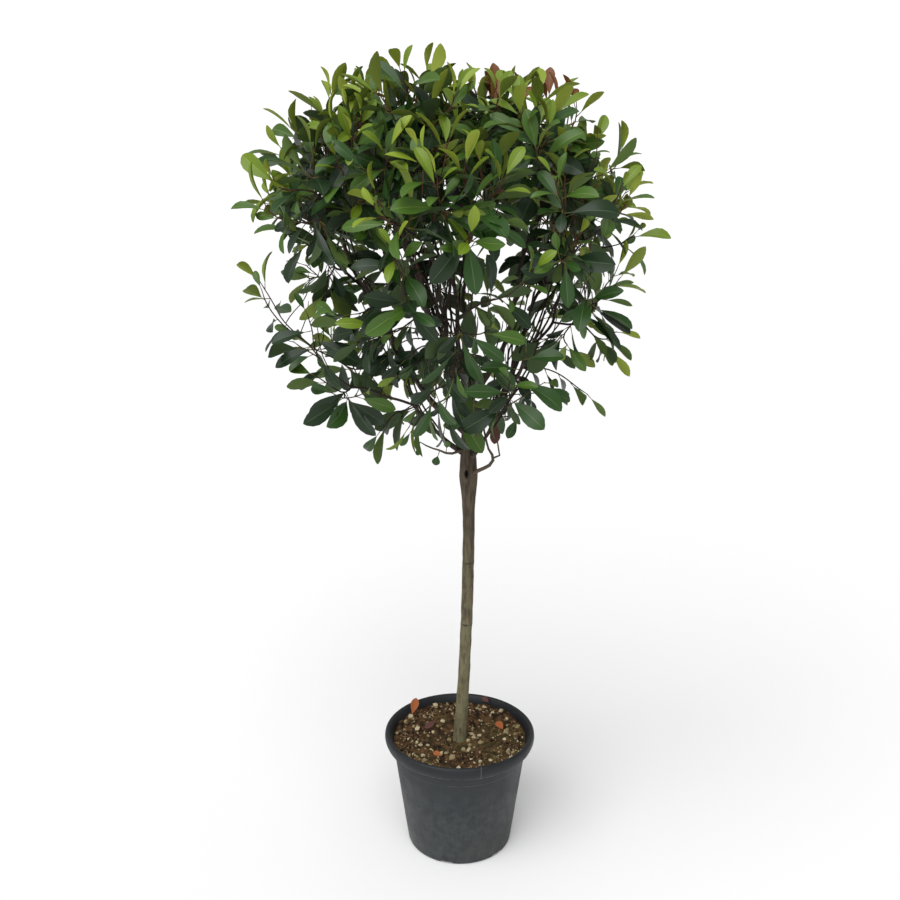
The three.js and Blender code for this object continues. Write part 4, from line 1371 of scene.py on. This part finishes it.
def turned_piece(name, profile, columns, shift, material, sharp_angle):
    """A profile turned round the axis and closed by one point at each end.
    Each point moves by a shift of its own: a share outwards and a distance up."""
    angle = ring_angles(columns)
    inner = profile[1:-1]
    radius, height = inner[:, :1], inner[:, 1:]
    x, y = radius * np.cos(angle), radius * np.sin(angle)
    outward, upward = shift(x, y, height, angle)
    rings = np.stack([x * (1 + outward), y * (1 + outward), height + upward], axis=-1).reshape(-1, 3)
    ends = np.array([[0, 0, end[1] + float(shift(0.0, 0.0, end[1], 0.0)[1])] for end in profile[[0, -1]]])
    around = np.arange(columns)
    beside = (around + 1) % columns
    bottom, last_ring = len(rings), len(rings) - columns
    first = np.stack([np.full(columns, bottom), beside, around], axis=-1)
    last = np.stack([np.full(columns, bottom + 1), around + last_ring, beside + last_ring], axis=-1)
    faces = [grid_faces(len(inner), columns), np.concatenate([first, last])]
    return make_piece(name, np.concatenate([rings, ends]), faces, [material], sharp_angle=sharp_angle)


def notch_shift(x, y, height, angle):
    """Lifts the foot inside each notch: near the floor, near the edge, and within the notch's width."""
    step = FULL_TURN / FOOT_NOTCHES
    aside = np.abs((angle - NOTCH_TURN + math.pi / 2 + step / 2) % step - step / 2) * BASE_RADIUS
    inside = 1 - smooth_step(aside, NOTCH_WIDTH / 2 - NOTCH_SIDE_SLOPE, NOTCH_WIDTH / 2)
    back = BASE_RADIUS - NOTCH_DEPTH
    edge = smooth_step(np.hypot(x, y), back - NOTCH_BACK_SLOPE, back + NOTCH_BACK_SLOPE)
    return 0.0, np.maximum(0, NOTCH_HEIGHT - height) * inside * edge


def pot_piece(material):
    """The pot, turned, with notches in its foot."""
    piece = turned_piece("pot_shell", pot_profile(), POT_COLUMNS, notch_shift, material, POT_CREASE)
    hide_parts("pot")


# Soil

def soil_height(x, y):
    """The soil's surface: clods over a slight mound at the stem, dished at the wall, heaped at the back."""
    flat = np.stack([x, y, np.zeros_like(x)], axis=-1)
    away = np.hypot(x, y)
    clods = SOIL_CLOD * rumple(flat, SOIL_CLOD_LENGTH, 8) + SOIL_CRUMB * rumple(flat, SOIL_CRUMB_LENGTH, 9)
    mound = SOIL_MOUND * bell(away / SOIL_MOUND_REACH) - SOIL_DISH * smooth_step(away, *SOIL_DISH_REACH)
    heap = SOIL_BACK_RISE * smooth_step(y, *SOIL_BACK_SLOPE) * smooth_step(away, *SOIL_BACK_REACH)
    return SOIL_LEVEL + clods + mound + heap


def soil_piece(material):
    """The filling: a turned solid whose top carries the clods, and spreads as the wall does where it is
    heaped."""
    foot, edge = (wall_radius(level) - WALL - SOIL_CLEARANCE for level in (SOIL_FOOT, SOIL_LEVEL))
    top = np.stack([np.linspace(edge, 0, SOIL_RINGS), np.full(SOIL_RINGS, SOIL_LEVEL)], axis=-1)
    profile = np.concatenate([[[0.0, SOIL_FOOT], [foot, SOIL_FOOT]], top])

    def shift(x, y, height, angle):
        x, y = np.asarray(x, float), np.asarray(y, float)
        upward = (soil_height(x, y) - SOIL_LEVEL) * (height > SOIL_LEVEL - 0.001)
        return SOIL_FLARE * upward / edge * (np.hypot(x, y) / edge) ** 4, upward

    piece = turned_piece("soil_fill", profile, SOIL_COLUMNS, shift, material, SOIL_CREASE)
    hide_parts("soil")


# Kinds of grit on the soil: sizes are half widths, and each kind has two tones
GRIT_KINDS = (
    dict(name="pumice", count=520, seed=1, smallest=0.0018, spread=0.0060,
         tones={"dusty": (140, 126, 94), "clean": (182, 170, 138)}),
    dict(name="tan_grit", count=1900, seed=2, smallest=0.0010, spread=0.0026,
         tones={"brown": (108, 86, 55), "tan": (156, 134, 97)}),
    dict(name="crumbs", count=1100, seed=3, smallest=0.0015, spread=0.0040,
         tones={"dark": (36, 25, 16), "earthy": (68, 49, 33)}),
)
GRIT_SEED_STEP = 1000
GRIT_FROM_WALL = 0.005
GRIT_FROM_STEM = 0.02
GRIT_JITTER = 3
GRIT_DRIFT_LENGTH = 0.08
GRIT_AT_WALL = 2
GRIT_RARITY = 4
GRIT_PROUD = 0.25
GRIT_CREASE = math.radians(25)
LUMP_EDGE_LIMIT = 1.1
LUMP_CORNERS = (0.62, 1.38)
LUMP_WIDTH = (0.65, 1.15)
LUMP_HEIGHT = (0.65, 0.95)


def icosahedron():
    """Corners and faces of an icosahedron: three golden rectangles, and each three corners an edge apart."""
    golden = (1 + math.sqrt(5)) / 2
    signs = np.array([[1, 1], [1, -1], [-1, 1], [-1, -1]])
    flat = np.stack([np.zeros(4), signs[:, 0], signs[:, 1] * golden], axis=1)
    corners = unit(np.concatenate([np.roll(flat, k, axis=1) for k in range(3)]))
    near = np.linalg.norm(corners[:, None] - corners, axis=-1) < LUMP_EDGE_LIMIT
    a, b, c = np.nonzero(near[:, :, None] & near[None] & near[:, None])
    ordered = (a < b) & (b < c)
    faces = np.stack([a, b, c], axis=-1)[ordered]
    first, second, third = corners[faces].transpose(1, 0, 2)
    inward = np.sum(np.cross(second - first, third - first) * first, axis=1) < 0
    faces[inward] = faces[inward][:, ::-1]
    return corners, faces


def grit_places(count, seed):
    """Grit spread by the golden angle and jittered, and kept in drifts that a slow field and the nearness of
    the wall decide. Returns the items that are kept, with their x and y."""
    index = np.arange(count)
    item = index + seed * GRIT_SEED_STEP
    reach = wall_radius(SOIL_LEVEL) - WALL - GRIT_FROM_WALL
    away = np.maximum(reach * np.sqrt((index + chance(item, 30)) / count), GRIT_FROM_STEM)
    angle = index * GOLDEN_ANGLE + GRIT_JITTER * chance(item, 31)
    x, y = away * np.cos(angle), away * np.sin(angle)
    drift = rumple(np.stack([x, y, np.zeros(count)], axis=-1), GRIT_DRIFT_LENGTH, 10 + seed)
    kept = drift + GRIT_AT_WALL * (away / reach) ** 3 > GRIT_RARITY * chance(item, 37) - 1
    return item[kept], x[kept], y[kept]


def grit_lumps(item, size):
    """Uneven lumps: icosahedra whose corners are pushed in or out, flattened, sized and spun."""
    corners, faces = icosahedron()
    corner_item = item[:, None] * len(corners) + np.arange(len(corners))
    lump = corners[None] * between(LUMP_CORNERS, chance(corner_item, 33))[..., None]
    width, height = between(LUMP_WIDTH, chance(item, 34)), between(LUMP_HEIGHT, chance(item, 35))
    lump = lump * size[:, None, None] * np.stack([np.ones(len(item)), width, height], axis=-1)[:, None]
    spin = FULL_TURN * chance(item, 36)
    turn = np.stack([np.cos(spin), -np.sin(spin), np.sin(spin), np.cos(spin)], axis=-1).reshape(-1, 2, 2)
    lump[..., :2] = np.einsum("nij,nkj->nki", turn, lump[..., :2])
    return lump, (faces[None] + len(corners) * np.arange(len(item))[:, None, None]).reshape(-1, 3)


def grit_piece(name, count, seed, smallest, spread, tones):
    """One kind of grit on the soil: lumps partly sunk in the surface, few of them large."""
    item, x, y = grit_places(count, seed)
    size = smallest + spread * chance(item, 32) ** 3
    lump, faces = grit_lumps(item, size)
    place = np.stack([x, y, soil_height(x, y) + GRIT_PROUD * size], axis=-1)
    verts = (lump + place[:, None]).reshape(-1, 3)
    looks = np.repeat((chance(item, 38) > 0.5).astype(int), len(faces) // len(item))
    piece = make_piece(name, verts, [faces], plain_materials(name, tones), looks, GRIT_CREASE)


# Stage

def floor_piece():
    """A wide pale floor under the pot."""
    corners = [(x * STAGE_HALF, y * STAGE_HALF, 0) for x, y in ((-1, -1), (1, -1), (1, 1), (-1, 1))]
    mesh = bpy.data.meshes.new("floor")
    mesh.from_pydata(corners, [], [(0, 1, 2, 3)])
    mesh.materials.append(new_material("floor_lit_pale", 0.9, (0.9, 0.9, 0.9, 1.0), 0.1)[0])
    floor = bpy.data.objects.new("floor", mesh)
    bpy.context.scene.collection.objects.link(floor)


def lights():
    """Soft daylight: an even pale surround, brighter as a backdrop, and one broad sun from above the camera's
    left."""
    world = bpy.data.worlds.new("studio")
    world.use_nodes = True
    tree = world.node_tree
    background = tree.nodes["Background"]
    background.inputs["Color"].default_value = (1.0, 1.0, 1.0, 1.0)
    seen = add_node(tree, "ShaderNodeLightPath").outputs["Is Camera Ray"]
    strength = math_node(tree, "MULTIPLY_ADD", seen, BACKDROP - SURROUND, SURROUND)
    tree.links.new(strength, background.inputs["Strength"])
    bpy.context.scene.world = world
    sun = bpy.data.lights.new("soft_sun", "SUN")
    sun.energy = SUN
    sun.angle = SUN_SOFTNESS
    lamp = bpy.data.objects.new("soft_sun", sun)
    lamp.rotation_euler = (SUN_TILT, 0, SUN_TURN)
    bpy.context.scene.collection.objects.link(lamp)
    bpy.context.scene.view_settings.view_transform = "Standard"


def camera():
    """The photograph's view: a camera without roll, pitched down at the plant."""
    data = bpy.data.cameras.new("camera")
    data.sensor_width = CAMERA_SENSOR
    data.lens = CAMERA_SENSOR * FOCAL_PIXELS / IMAGE_SIDE
    view = bpy.data.objects.new("camera", data)
    view.location = CAMERA_PLACE
    view.rotation_euler = (math.pi / 2 - CAMERA_PITCH, 0, 0)
    bpy.context.scene.collection.objects.link(view)
    bpy.context.scene.camera = view


camera()
lights()
floor_piece()
plan, end_radii, shoots, bare = grow_crown()
trunk_piece(bark_material())
bough_piece(plan, end_radii, bough_material())
crown_pieces(plan, shoots, bare)
pot_piece(plastic_material())
soil_piece(soil_material())
for kind in GRIT_KINDS:
    grit_piece(**kind)
dry_pieces()
